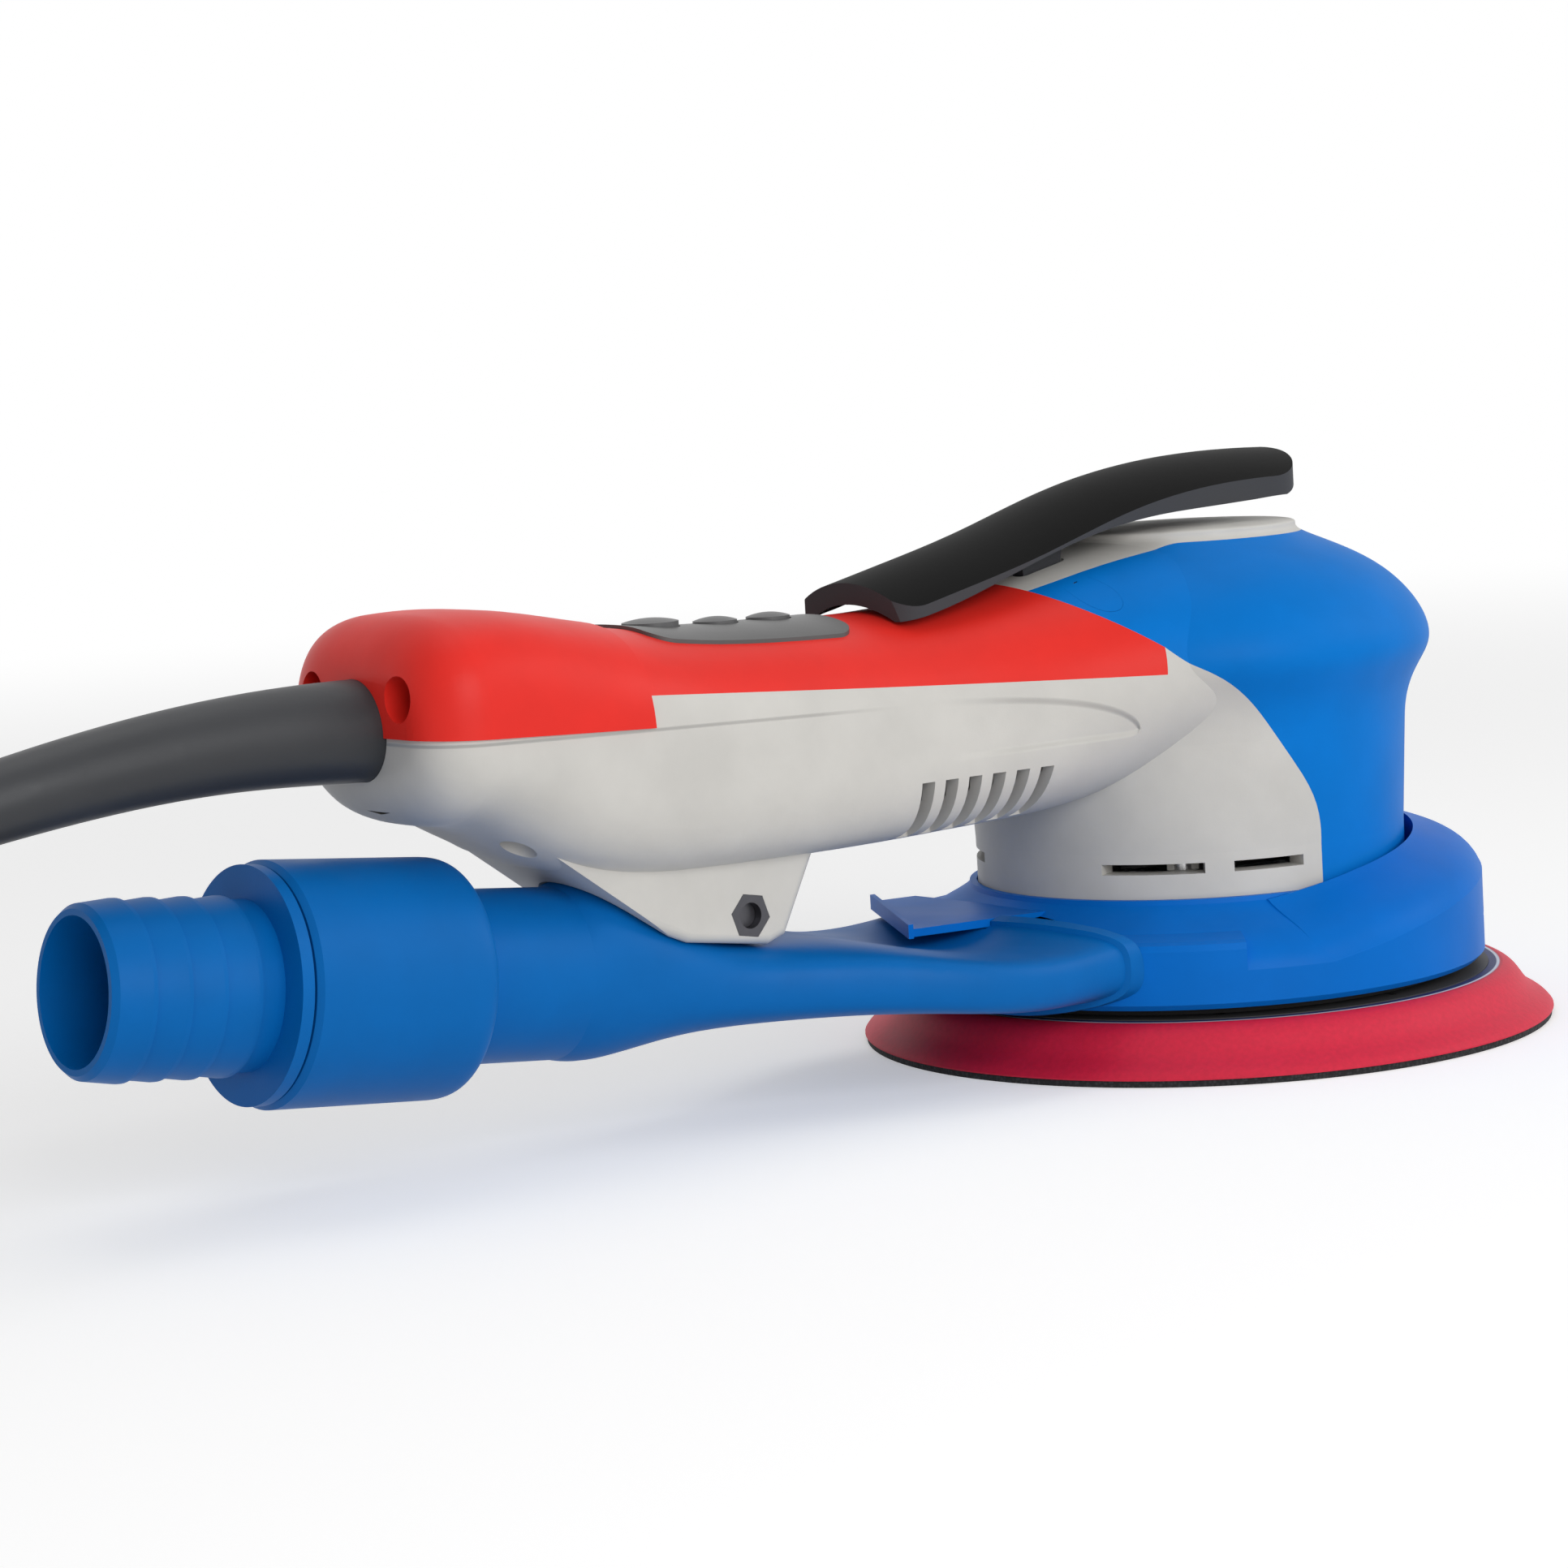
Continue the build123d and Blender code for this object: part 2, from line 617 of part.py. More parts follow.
stud = stud + stud_head - Pos(0, 0, plate_low - stud_head_height) * stud_socket
add("pad_stud", stud.moved(Pos(orbit_offset, 0, 0)))
shank_top = pad_bearing_top
spindle = pad_disc(spindle_flange_radius, pad_seat, flange_top) + pad_disc(spindle_radius, pad_seat,
                                                                           shank_top)
flats = [block(orbit_offset - 12, orbit_offset + 12, y, y + 4, pad_seat - 1, flange_top)
         for y in (-spindle_flange_radius - 3, spindle_flange_radius - 1)]
add("pad_spindle", spindle - (flats + [pad_disc(stud_radius + seat_gap, pad_seat - 1,
                                                pad_seat + stud_length + 1)]))

# ---------------------------------------------------------------- rotor: eccentric, shaft, fan, core and magnet
cup_bore = pad_bearing_radius + seat_gap
cup_radius = cup_bore + eccentric_wall
cup = pad_disc(cup_radius, pad_bearing_low, web_top)
weight_low = pad_bearing_low + 6.0
weight = sector(balance_radius, 8.0, weight_low, weight_low + balance_thickness,
                180 - balance_angle / 2, 180 + balance_angle / 2)
relief = sector(balance_radius - 4.0, cup_radius + 3.0, weight_low + balance_thickness - 3.0,
                weight_low + balance_thickness + 1, 180 - balance_angle / 2 + 14,
                180 + balance_angle / 2 - 14)
eccentric = cup + weight - relief - pad_disc(cup_bore, pad_bearing_low - 1, pad_bearing_top + face_gap)
shaft_low = web_top - eccentric_web
add("eccentric", eccentric - disc(shaft_radius + seat_gap, shaft_low - 1, web_top + 1))
pad_bearing_tiers = [pad_bearing_low, pad_bearing_low + pad_bearing_width + face_gap]
pad_bearing = bearing(pad_bearing_radius, spindle_radius + running_gap, 0, pad_bearing_width)
add("pad_bearings", at([Pos(orbit_offset, 0, low) for low in pad_bearing_tiers], pad_bearing))
shaft_step = stator_top + 6.0
shaft = disc(shaft_radius, shaft_low, shaft_step) + disc(shaft_tail_radius, shaft_low,
                                                         tail_bearing_top - face_gap)
add("motor_shaft", shaft)

blade_lean = math.radians(28)
blade_mid = math.radians(9)
blade_root = fan_radius - 14.0
blade_middle = fan_radius - 7.0
blade_line = ThreePointArc((blade_root, 0), (blade_middle * math.cos(blade_mid),
                                             -blade_middle * math.sin(blade_mid)),
                           ((fan_radius - 0.8) * math.cos(blade_lean),
                            -(fan_radius - 0.8) * math.sin(blade_lean)))
fan_low = fan_top - fan_depth
blade = Pos(0, 0, fan_low) * extrude(trace(blade_line, 1.4), fan_depth - 1.0)
fan_hub_radius = 9.0
fan = turned((shaft_radius + seat_gap, fan_blade_top), (fan_radius, fan_blade_top), (fan_radius, fan_top),
             (fan_hub_radius + 3, fan_top), (fan_hub_radius, stator_low),
             (shaft_radius + seat_gap, stator_low))
add("cooling_fan", fan + around(blade, fan_blades))
core_radius = stator_inner_radius - air_gap - magnet_thickness
add("rotor_core", ring(core_radius, shaft_radius + seat_gap, stator_low, stator_top)
    - around(disc(2.6, stator_low - 1, stator_top + 1, 13), 6))
add("rotor_magnet", ring(stator_inner_radius - air_gap, core_radius + seat_gap, stator_low, stator_top))

# ---------------------------------------------------------------- stator, windings, bearings and end plate
yoke_inner = stator_radius - stator_yoke
shoe_outer = stator_inner_radius + 1.8
slot_step = 360.0 / stator_slots
teeth = [Rot(0, 0, slot_step * k) * Rectangle(2 * stator_radius, tooth_width, align=(Align.MIN, Align.CENTER))
         for k in range(stator_slots)]
mouths = [Rot(0, 0, slot_step * (k + 0.5)) * Pos(stator_inner_radius, 0) * Rectangle(6, 2.6)
          for k in range(stator_slots)]
wire_space = Circle(yoke_inner) - Circle(shoe_outer) - teeth
lamination = Circle(stator_radius) - Circle(stator_inner_radius) - wire_space - mouths
add("stator", Pos(0, 0, stator_low) * extrude(lamination, stator_length))
coil_inner_end = shoe_outer + 1.6
coil_outer_end = yoke_inner - 0.9
winding_build = 2.4
coil_half_width = tooth_width / 2 + winding_build
winding = block(coil_inner_end, coil_outer_end, -coil_half_width, coil_half_width,
                stator_low - winding_build, stator_top + winding_build)
winding = fillet(winding.edges().filter_by(Axis.X), 2.0)
winding -= block(coil_inner_end - 1, coil_outer_end + 1, -tooth_width / 2 - seat_gap,
                 tooth_width / 2 + seat_gap,
                 stator_low, stator_top)
add("windings", at([Rot(0, 0, slot_step * k) for k in range(stator_slots)], winding))
add("tail_bearing", bearing(tail_bearing_radius, shaft_tail_radius + running_gap, tail_bearing_low,
                            tail_bearing_top))
add("bearing_damper", ring(tail_bearing_radius + damper_wall, tail_bearing_radius, tail_bearing_low,
                           tail_bearing_top))
end_plate = turned((main_bearing_radius - 6, end_plate_low), (stator_radius, end_plate_low),
                   (stator_radius, end_plate_top), (hub_radius + 2.0, end_plate_top),
                   (hub_radius, end_plate_top + 2.0),
                   (hub_radius, main_bearing_top), (main_bearing_radius + seat_gap, main_bearing_top),
                   (main_bearing_radius + seat_gap, end_plate_top), (main_bearing_radius - 6, end_plate_top))
plate_windows = around(sector(30.0, 21.5, end_plate_low - 1, end_plate_top + 1, 12, 48), 6)
end_plate -= plate_windows
end_plate -= [disc(screw_radius + seat_gap, end_plate_low - 1, end_plate_top + 1, x, y)
              for x, y in plate_places]
add("bearing_plate", end_plate)
add("main_bearing", bearing(main_bearing_radius, shaft_radius + running_gap, end_plate_top, main_bearing_top))
plate_screw_head = 2.2
plate_screw = screw(screw_radius - seat_gap, end_plate_top + 8 - flange_bottom, 3.2, plate_screw_head)
add("plate_screws", at([Pos(x, y, flange_bottom) * Rot(180, 0, 0) for x, y in plate_places], plate_screw))

# ---------------------------------------------------------------- dust shroud
inner_radius = shroud_radius - shroud_wall
ridge = 21.3            # height of the ridge between the wall and the flank
flank_outer = [(shroud_radius, ridge), (shroud_radius - 2.0, ridge + 3.9), (shroud_radius - 10.1, 30.5),
               (lip_outer, 33.2)]
flank_inner = [(lip_inner - 0.7, flange_bottom), (shroud_radius - 11.5, 28.6),
               (shroud_radius - 4.5, ridge + 2.6),
               (inner_radius, ridge - 0.7)]
flank_middle = [(61.4, ridge - 0.3), (59.4, ridge + 3.4), (52.0, 29.6),
                (lip_outer - 1.0, flange_bottom + 1.0)]
shroud_outer = Spline(*flank_outer)
shroud_outline = (Polyline(flank_inner[-1], (inner_radius, shroud_bottom),
                           (shroud_radius - 1.2, shroud_bottom),
                           (shroud_radius, shroud_bottom + 1.2), flank_outer[0])
                  + shroud_outer
                  + Polyline(flank_outer[-1], (lip_outer - 0.2, lip_top), (lip_inner, lip_top),
                             (lip_inner, head_bottom), (flange_inner, head_bottom),
                             (flange_inner, flange_bottom),
                             flank_inner[0])
                  + Spline(*flank_inner))
shroud = revolve(make_face(Plane.XZ * shroud_outline), axis=Axis.Z)

# the flank again, tipped up towards the front and held inside the shroud's radius
fence_slope = 9.6
fence_start = -20.0
tip_up = Pos(fence_start, 0, 26.0) * Rot(0, -fence_slope, 0) * Pos(-fence_start, 0, -26.0)
fence_outline = (Polyline((44, 33.2), (44, 12), (67, 12), (67, 13.5), flank_outer[0]) + shroud_outer
                 + Line(flank_outer[-1], (44, 33.2)))
fence = tip_up * revolve(make_face(Plane.XZ * fence_outline), axis=Axis.Z)
fence = fence & (ring(shroud_radius, lip_outer - 0.1, ridge - 3, beyond)
                 & block(fence_start, beyond, -beyond, beyond, 0, beyond))
fence = fence - turned((0, 8), (flank_middle[0][0], 8), *flank_middle, (0, flank_middle[-1][1]))

# raised shoulder round the duct's mouth
shoulder_top = 27.5
shoulder_span = 114.0
shoulder_outline = Polyline((50.5, 30.9), (54.5, 28.9), (shroud_radius - 1.8, shoulder_top),
                            (shroud_radius - 0.5, shoulder_top - 0.5), (shroud_radius, shoulder_top - 1.8),
                            (shroud_radius, ridge - 3), (flank_middle[0][0], ridge - 3), *flank_middle[:3],
                            close=True)
shoulder = Rot(0, 0, 180 - shoulder_span / 2) * revolve(make_face(Plane.XZ * shoulder_outline), axis=Axis.Z,
                                                        revolution_arc=shoulder_span)
socket_gap = 0.25
stub_wall = 1.4
stub_reach = disc(shroud_radius + 8.0, 0, 60) & block(-beyond, -40, -beyond, beyond, 0, 60)
spout = (duct_form(duct_wall + socket_gap) & stub_reach) - disc(flank_middle[0][0], 0, 60)
outlet = duct_form(duct_wall + socket_gap + stub_wall) & block(-80, -46, -beyond, beyond, 0, 60)

# latch plate over the duct's mouth, with a thin rib along its slanted rear edge
latch_plan = Polyline((-50.0, 34.0), (-62.5, 34.0), (-86.5, -8.5), (-48.0, -8.5), close=True)
latch_under = [(-46.0, 30.1), (-92.0, 31.7)]
latch_side = Polyline(*latch_under, (-92.0, 33.3), (-46.0, 31.8), close=True)
rib_plan = Polyline((-61.2, 34.0), (-62.5, 34.0), (-87.6, -10.4), (-86.3, -10.4), close=True)
rib_side = Polyline(*latch_under, (-92.0, 34.6), (-46.0, 33.4), close=True)
latch = [extrude(make_face(plan), 60) & side_prism(side, beyond)
         for plan, side in ((latch_plan, latch_side), (rib_plan, rib_side))]
latch = (latch[0] + latch[1]) - disc(50.0, 0, 60)
latch_gap = 0.3
seat_side = Polyline(*[(x, z - latch_gap) for x, z in latch_under], (-92.0, 60.0), (-46.0, 60.0), close=True)
latch_seat = [extrude(offset(make_face(plan), latch_gap), 60) & side_prism(seat_side, beyond)
              for plan in (latch_plan, rib_plan)]
shroud = shroud + fence + shoulder + spout + latch - outlet
shroud = shroud - [disc(screw_radius + seat_gap, flange_bottom - 1, head_bottom + 1, x, y)
                   for x, y in plate_places]
print("shroud", shroud.volume, [round(x.volume) for x in shroud.solids()], shroud.is_valid)
add("dust_shroud", shroud)
seal_outer = inner_radius - seat_gap
seal_seat = 15.4
seal_top = 18.6
seal_low = pad_height + face_gap
add("brake_seal", turned((seal_outer, seal_seat), (seal_outer, seal_top), (seal_outer - 1.8, seal_top),
                         (seal_outer - 2.6, seal_seat + 1.2), (seal_outer - 5.6, seal_seat - 2.0),
                         (seal_outer - 5.6, seal_low), (seal_outer - 4.2, seal_low),
                         (seal_outer - 3.8, seal_seat - 2.2), (seal_outer - 1.6, seal_seat)))

# ---------------------------------------------------------------- exhaust duct
bead_width = 2.6
mouth_bead = duct_form(-1.0) & (ring(shroud_radius + bead_width, shroud_radius - 1, 0, 60) & block(-90, -40,
                                                                                                   -60, 60, 0,
                                                                                                   60))
ear_outline = Polyline((bolt_x - 10.0, 31.0), (bolt_x - 5.2, 45.0), (bolt_x + 5.2, 45.0),
                       (bolt_x + 10.0, 31.0), close=True)
ear_radius = 5.6
ear = side_prism(ear_outline, ear_half_width) + rod_y(ear_radius, -ear_half_width, ear_half_width, bolt_x,
                                                      bolt_z)
duct_hollow = duct_form(duct_wall)
duct_limit = disc(shroud_radius + seat_gap, 0, 60)
duct = duct_form(0) + mouth_bead + ear
duct = duct - [duct_hollow, duct_limit, *latch_seat, rod_y(bolt_clear_radius, -10, 10, bolt_x, bolt_z)]
print("duct", duct.volume, [round(x.volume) for x in duct.solids()], duct.is_valid)
add("exhaust_duct", max(duct.solids(), key=lambda solid: solid.volume))
thread_end = -lug_half_width + 2.0
bolt_head = rod_y(4.2, lug_half_width - bolt_head_depth, lug_half_width, bolt_x, bolt_z)
bolt_socket = hexagon(2.4, lug_half_width - 2.4, lug_half_width + 1, bolt_x, bolt_z, 0)
add("duct_bolt", rod_y(bolt_radius, thread_end, lug_half_width - 1, bolt_x, bolt_z) + bolt_head - bolt_socket)
nut = hexagon(nut_radius, -lug_half_width, nut_thickness - lug_half_width, bolt_x, bolt_z, 11)
add("duct_nut", nut - rod_y(bolt_radius + seat_gap, -lug_half_width - 1, lug_half_width, bolt_x, bolt_z))

# ---------------------------------------------------------------- swivel: collar, hose adaptor and o-ring
seam_s = (duct_seam_x - hose_mouth_x) / slope_cos
collar_low = flange_thickness + 34.2
spigot_end = collar_low + 23.4
bore_step = spigot_end + 2.0
spigot_radius = 18.2
collar_bore = spigot_radius + face_gap
shoulder_s = seam_s - 22.2
collar_outline = (Polyline((neck_radius, seam_s), (neck_radius - duct_wall, seam_s),
                           (neck_radius - duct_wall, bore_step + 6),
                           (collar_bore, bore_step), (collar_bore, collar_low),
                           (collar_radius - 1.0, collar_low),
                           (collar_radius, collar_low + 1.0), (collar_radius, shoulder_s - 8.0))
                  + Spline((collar_radius, shoulder_s - 8.0), (collar_radius - 1.4, shoulder_s - 2.6),
                           (neck_radius, shoulder_s),
                           tangents=[(0, 1), (-0.4, 1)])
                  + Polyline((neck_radius, shoulder_s), (neck_radius, seam_s)))


def on_duct_axis(outline):
    """Revolve of an (radius, distance from the hose mouth) outline about the duct's axis."""
    return duct_frame.location * revolve(make_face(Plane.XZ * outline), axis=Axis.Z)


add("swivel_collar", on_duct_axis(collar_outline))
adaptor = [(hose_bore_radius, 0), (barb_radius - 1.0, 0)]
for k in range(barb_count - 1):
    step = 1.2 + barb_pitch * (k + 1)
    adaptor += [(barb_radius, step - barb_pitch + 0.2 if k else 1.2), (barb_radius + barb_rise, step - 0.8),
                (barb_radius + barb_rise, step), (barb_radius, step)]
flange_low = collar_low - 0.6 - flange_thickness
groove_low = spigot_end - 10.0
groove_width = 2.2
groove_radius = spigot_radius - 1.3
adaptor += [(barb_radius, flange_low), (collar_radius - 0.8, flange_low),
            (collar_radius - 0.8, flange_low + flange_thickness),
            (spigot_radius, flange_low + flange_thickness), (spigot_radius, groove_low),
            (groove_radius, groove_low),
            (groove_radius, groove_low + groove_width), (spigot_radius, groove_low + groove_width),
            (spigot_radius, spigot_end), (hose_bore_radius, spigot_end)]
add("hose_adaptor", on_duct_axis(Polyline(*adaptor, close=True)))
add("swivel_seal", on_duct_axis(Polyline((groove_radius, groove_low), (spigot_radius, groove_low + 0.3),
                                         (spigot_radius, groove_low + groove_width - 0.3),
                                         (groove_radius, groove_low + groove_width), close=True)))

# ---------------------------------------------------------------- paddle lever
# x, height of the crest
lever_stations = [(lever_rear, 104.0), (-75.0, 107.6), (-56.0, 112.2), (-29.0, 119.9), (-10.0, 123.2),
                  (9.0, 124.4),
                  (lever_tip, 124.2)]
# x, height of the rim's lower edge
rim_stations = [(lever_rear, 96.0), (-76.0, 99.0), (-58.7, 104.3), (-40.8, 109.4), (-22.5, 112.4),
                (-3.8, 113.4),
                (10.5, 114.0), (lever_tip, 114.2)]
crest_line = Plane.XZ * Spline(*lever_stations)
tip_corner = 13.0
tail_corner = 7.0


def crown_sweep(top_depth, bottom_depth):
    """Arched layer of the lever between two depths below its crest line."""
    half = lever_half_width + 1
    drop = lever_crown_radius - math.sqrt(lever_crown_radius ** 2 - half ** 2)
    top = ThreePointArc((-half, -drop - top_depth), (0, -top_depth), (half, -drop - top_depth))
    under = ThreePointArc((half, -drop - bottom_depth), (0, -bottom_depth), (-half, -drop - bottom_depth))
    section = make_face(top + Line(top @ 1, under @ 0) + under + Line(under @ 1, top @ 0))
    start = Plane(origin=crest_line @ 0, x_dir=(0, 1, 0), z_dir=crest_line % 0)
    return sweep(start * section, path=crest_line)


def lever_plan(inset):
    """Plan of the lever with rounded corners, drawn in by the inset."""
    circles = Sketch()
    for x, corner in ((lever_tip - tip_corner, tip_corner), (lever_rear + tail_corner, tail_corner)):
        for side in (-1, 1):
            circles += Pos(x, side * (lever_half_width - corner)) * Circle(corner - inset)
    return make_hull(circles.edges())


rim_edge = Spline(*rim_stations)
below_rim = side_prism(rim_edge + Polyline(rim_edge @ 1, (lever_tip, 60), (lever_rear, 60), rim_edge @ 0),
                       beyond)
lever_outer = (crown_sweep(0, lever_edge) & extrude(lever_plan(0), beyond)) - below_rim
lever_pocket = crown_sweep(lever_thickness, lever_edge + 3.0) & extrude(lever_plan(2.4), beyond)
press_back = Pos(lever_pin_x, 0, lever_pin_z) * Rot(0, -lever_travel, 0) * Pos(-lever_pin_x, 0, -lever_pin_z)
blade_body = lever_outer - lever_pocket - press_back * head_form(-travel_gap)
lug_top = 112.5
lever_lugs = []
for side in (-1, 1):
    y_low, y_high = sorted((side * lever_lug_inner, side * lever_lug_outer))
    cheek = side_prism(Polyline((lever_pin_x - lever_lug_radius, lever_pin_z),
                                (lever_pin_x - lever_lug_radius - 2, lug_top - 1.0),
                                (lever_pin_x + lever_lug_radius + 2, lug_top + 2.0),
                                (lever_pin_x + lever_lug_radius, lever_pin_z), close=True), beyond)
    cheek = cheek & block(-beyond, beyond, y_low, y_high, 0, beyond)
    lever_lugs.append(cheek + rod_y(lever_lug_radius, y_low, y_high, lever_pin_x, lever_pin_z))
magnet_top = 118.0
magnet_boss = disc(magnet_radius + 1.6, magnet_top - magnet_height - 0.2, 120.0, magnet_x)
lever = blade_body + lever_lugs + magnet_boss
lever = lever - [rod_y(lever_pin_radius + running_gap, -beyond, beyond, lever_pin_x, lever_pin_z),
                 disc(magnet_radius + seat_gap, magnet_top - magnet_height - 1, magnet_top, magnet_x)]
print("lever", lever.volume, [round(x.volume) for x in lever.solids()], lever.is_valid)
add("paddle_lever", lever)
add("lever_magnet", disc(magnet_radius, magnet_top - magnet_height, magnet_top, magnet_x))
add("lever_pin", rod_y(lever_pin_radius, -lever_pin_half_length, lever_pin_half_length, lever_pin_x,
                       lever_pin_z))
spring_half = lever_lug_inner - 1.2
coil_path = Helix(2 * spring_half / spring_turns, 2 * spring_half, spring_radius)
coil_start = Plane(origin=coil_path @ 0, z_dir=coil_path % 0)
spring_coil = sweep(coil_start * Circle(spring_wire), path=coil_path)
spring_place = Pos(lever_pin_x, spring_half, lever_pin_z) * Rot(90, 0, 0)
spring = spring_place * spring_coil
print("spring", spring.bounding_box())
leg_x = lever_pin_x + spring_radius
spring_leg = disc(spring_wire, lever_pin_z, 111.6, leg_x, spring_half)
add("lever_spring", spring + spring_leg)

# ---------------------------------------------------------------- keypad's buttons, board and switches
def top_height(x):
    """Height of the handle's top line at x, between its stations."""
    for low, high in zip(handle_stations, handle_stations[1:]):
        if low[0] <= x <= high[0]:
            return low[3] + (high[3] - low[3]) * (x - low[0]) / (high[0] - low[0])
    return handle_stations[-1][3]


switch_height = 3.2
switch_top = switch_board_top + switch_height
for name, (x, radius) in button_places.items():
    crown = top_height(x) + 1.9
    dome = 0.8
    bulge = (radius ** 2 + dome ** 2) / (2 * dome)
    cap = disc(radius, top_height(x) - 2.4, crown, x) & (Pos(x, 0, crown - bulge) * Sphere(bulge))
    flange_high = top_height(x) - cover_wall - 2.0
    cap_flange = disc(radius + 1.0, flange_high - 1.0, flange_high, x)
    neck = disc(radius, flange_high - 1.0, top_height(x) - 1.0, x)
    stem = disc(1.8, switch_top + button_travel + face_gap, flange_high, x)
    add(name, cap + neck + cap_flange + stem)
board = block(*switch_board_ends, -switch_board_half_width, switch_board_half_width, switch_board_z,
              switch_board_top)
add("switch_board", board)
switches = [block(x - 3, x + 3, -3, 3, switch_board_top, switch_top - 1.0) + disc(1.6, switch_top - 1.5,
                                                                                  switch_top, x)
            for x, _ in button_places.values()]
add("tactile_switches", Compound(children=[switch.solids()[0] for switch in switches]))
board_top = board_z + board_thickness
add("keypad_cable", block(-127.8, -127.0, -5, 5, board_top, switch_board_z))

# ---------------------------------------------------------------- motor control board
control_board = block(board_rear, board_front, -board_half_width, board_half_width, board_z, board_top)
add("control_board", control_board - [disc(1.1, board_z - 1, board_top + 1, x, y) for x, y in board_places])
board_screw = screw(0.95, board_thickness + 4.5, 2.2, 1.6)
add("board_screws", at([Pos(x, y, board_top) for x, y in board_places], board_screw))
sink_rear = -165.0
sink_front = -146.0
sink_half_width = 11.0
fin_height = 8.0
fins = [block(sink_rear, sink_front, y - 0.7, y + 0.7, board_top, board_top + 3 + fin_height)
        for y in [k * 3.6 - 9.0 for k in range(6)]]
add("heat_sink", block(sink_rear, sink_front, -sink_half_width, sink_half_width, board_top,
                       board_top + 3) + fins)
capacitor = disc(5.5, 0, 15) - disc(3.5, 14.5, 16)
add("capacitors", at([Pos(-136.0, y, board_top) for y in (-8, 8)], capacitor))
lead_z = stator_top + winding_build + 1.3
lead_radius = 1.3
terminal_rear = -124.0
terminal_front = board_front - 1.0
lead_rows = (-6.0, 0.0, 6.0)
terminal = block(terminal_rear, terminal_front, -10, 10, board_top, lead_z + 3.0)
terminal -= [disc(1.5, lead_z + 1.5, 100, (terminal_rear + terminal_front) / 2, y) for y in lead_rows]
add("terminal_block", terminal)
motor_lead = rod_x(lead_radius, terminal_front, -coil_inner_end, 0, lead_z)
add("motor_leads", at([Pos(0, y, 0) for y in lead_rows], motor_lead))
sensor_z = cavity_top
add("lever_sensor", block(magnet_x - 5, magnet_x + 5, -6, 6, sensor_z - board_thickness, sensor_z)
    + block(magnet_x - 2, magnet_x + 2, -2, 2, sensor_z - board_thickness - 1.5, sensor_z - board_thickness))

# ---------------------------------------------------------------- fasteners of the handle
rear_head_seat = rear_pillar_x - 3.0
rear_screw = screw(1.45, 10.0, rear_screw_head, 2.6)
add("cover_screws", at([Pos(rear_head_seat, y, rear_screw_z) * Rot(0, -90, 0) for y in rear_screw_sides],
                       rear_screw))
floor_screw = screw(1.45, 12.0, 3.2, 2.4)
add("floor_screws", at([Pos(floor_screw_x, y, floor_head_seat) * Rot(180, 0, 0) for y in floor_screw_sides],
                       floor_screw))

# ---------------------------------------------------------------- cord: boot, cord, coil and plug
boot_line = [(-204.5, 0, boot_z, boot_radius), (-219.6, 0, 86.7, 9.2), (-239.6, 0, 86.3, 8.45),
             (-258.9, 0, 84.5, 7.8),
             (-277.8, 0, 81.7, 7.2), (-297.0, 0.8, 78.0, 6.6), (-314.5, 3.6, 73.4, boot_end_radius)]
boot_sections = []
for k, (x, y, z, radius) in enumerate(boot_line):
    before = boot_line[max(k - 1, 0)]
    after = boot_line[min(k + 1, len(boot_line) - 1)]
    heading = (-1, 0, 0) if k == 0 else [after[i] - before[i] for i in range(3)]
    boot_sections.append(Plane(origin=(x, y, z), x_dir=(0, 1, 0), z_dir=heading) * Circle(radius))
boot = loft(boot_sections)
boot_inner_x = handle_rear + 8.0
wall_inner_x = handle_rear + housing_wall + seat_gap
boot += rod_x(boot_radius, boot_line[0][0], boot_inner_x, 0, boot_z)
boot_plate = block(wall_inner_x, wall_inner_x + 2.5, -8.8, 8.8, boot_z - 13, boot_z + 13)
boot += fillet(boot_plate.edges().filter_by(Axis.X), 3.0)
print("boot", boot.volume, len(boot.solids()), boot.is_valid)
add("cord_strain_relief", boot)
lead_drop_x = -172.0
mains = []
for y in (-3.0, 3.0):
    path = FilletPolyline((boot_inner_x, y, boot_z), (lead_drop_x, y, boot_z), (lead_drop_x, y, board_top),
                          radius=6.0)
    mains.append(sweep(Plane(origin=path @ 0, z_dir=path % 0) * Circle(1.2), path=path))
add("mains_leads", Compound(children=[lead.solids()[0] for lead in mains]))

coil_low = cord_radius + 0.2
coil_x, coil_y = coil_centre
outer_turn = coil_middle_radius + (coil_columns - 1) / 2 * coil_pitch_across
inner_turn = coil_middle_radius - (coil_columns - 1) / 2 * coil_pitch_across
top_turn = coil_low + (coil_layers - 1) * coil_pitch_up
coil = ring(outer_turn + cord_radius + 0.2, inner_turn - cord_radius - 0.2, 0, top_turn + cord_radius + 0.2,
            coil_x, coil_y)
add("cord_coil", fillet(coil.edges(), 3.0))
plug_rear = (-345.0, coil_y + 37.0, 13.0)
lead_route = [boot_line[-1][:3], (-329.0, 8.4, 71.0), (-360.0, 39.0, 58.0),
              (-402.0, coil_y - outer_turn, 33.0),
              (coil_x, coil_y - outer_turn, top_turn)]
tail_route = [(coil_x, coil_y + outer_turn, coil_low), (-417.0, coil_y + outer_turn, coil_low),
              (-381.0, plug_rear[1], plug_rear[2]), plug_rear]


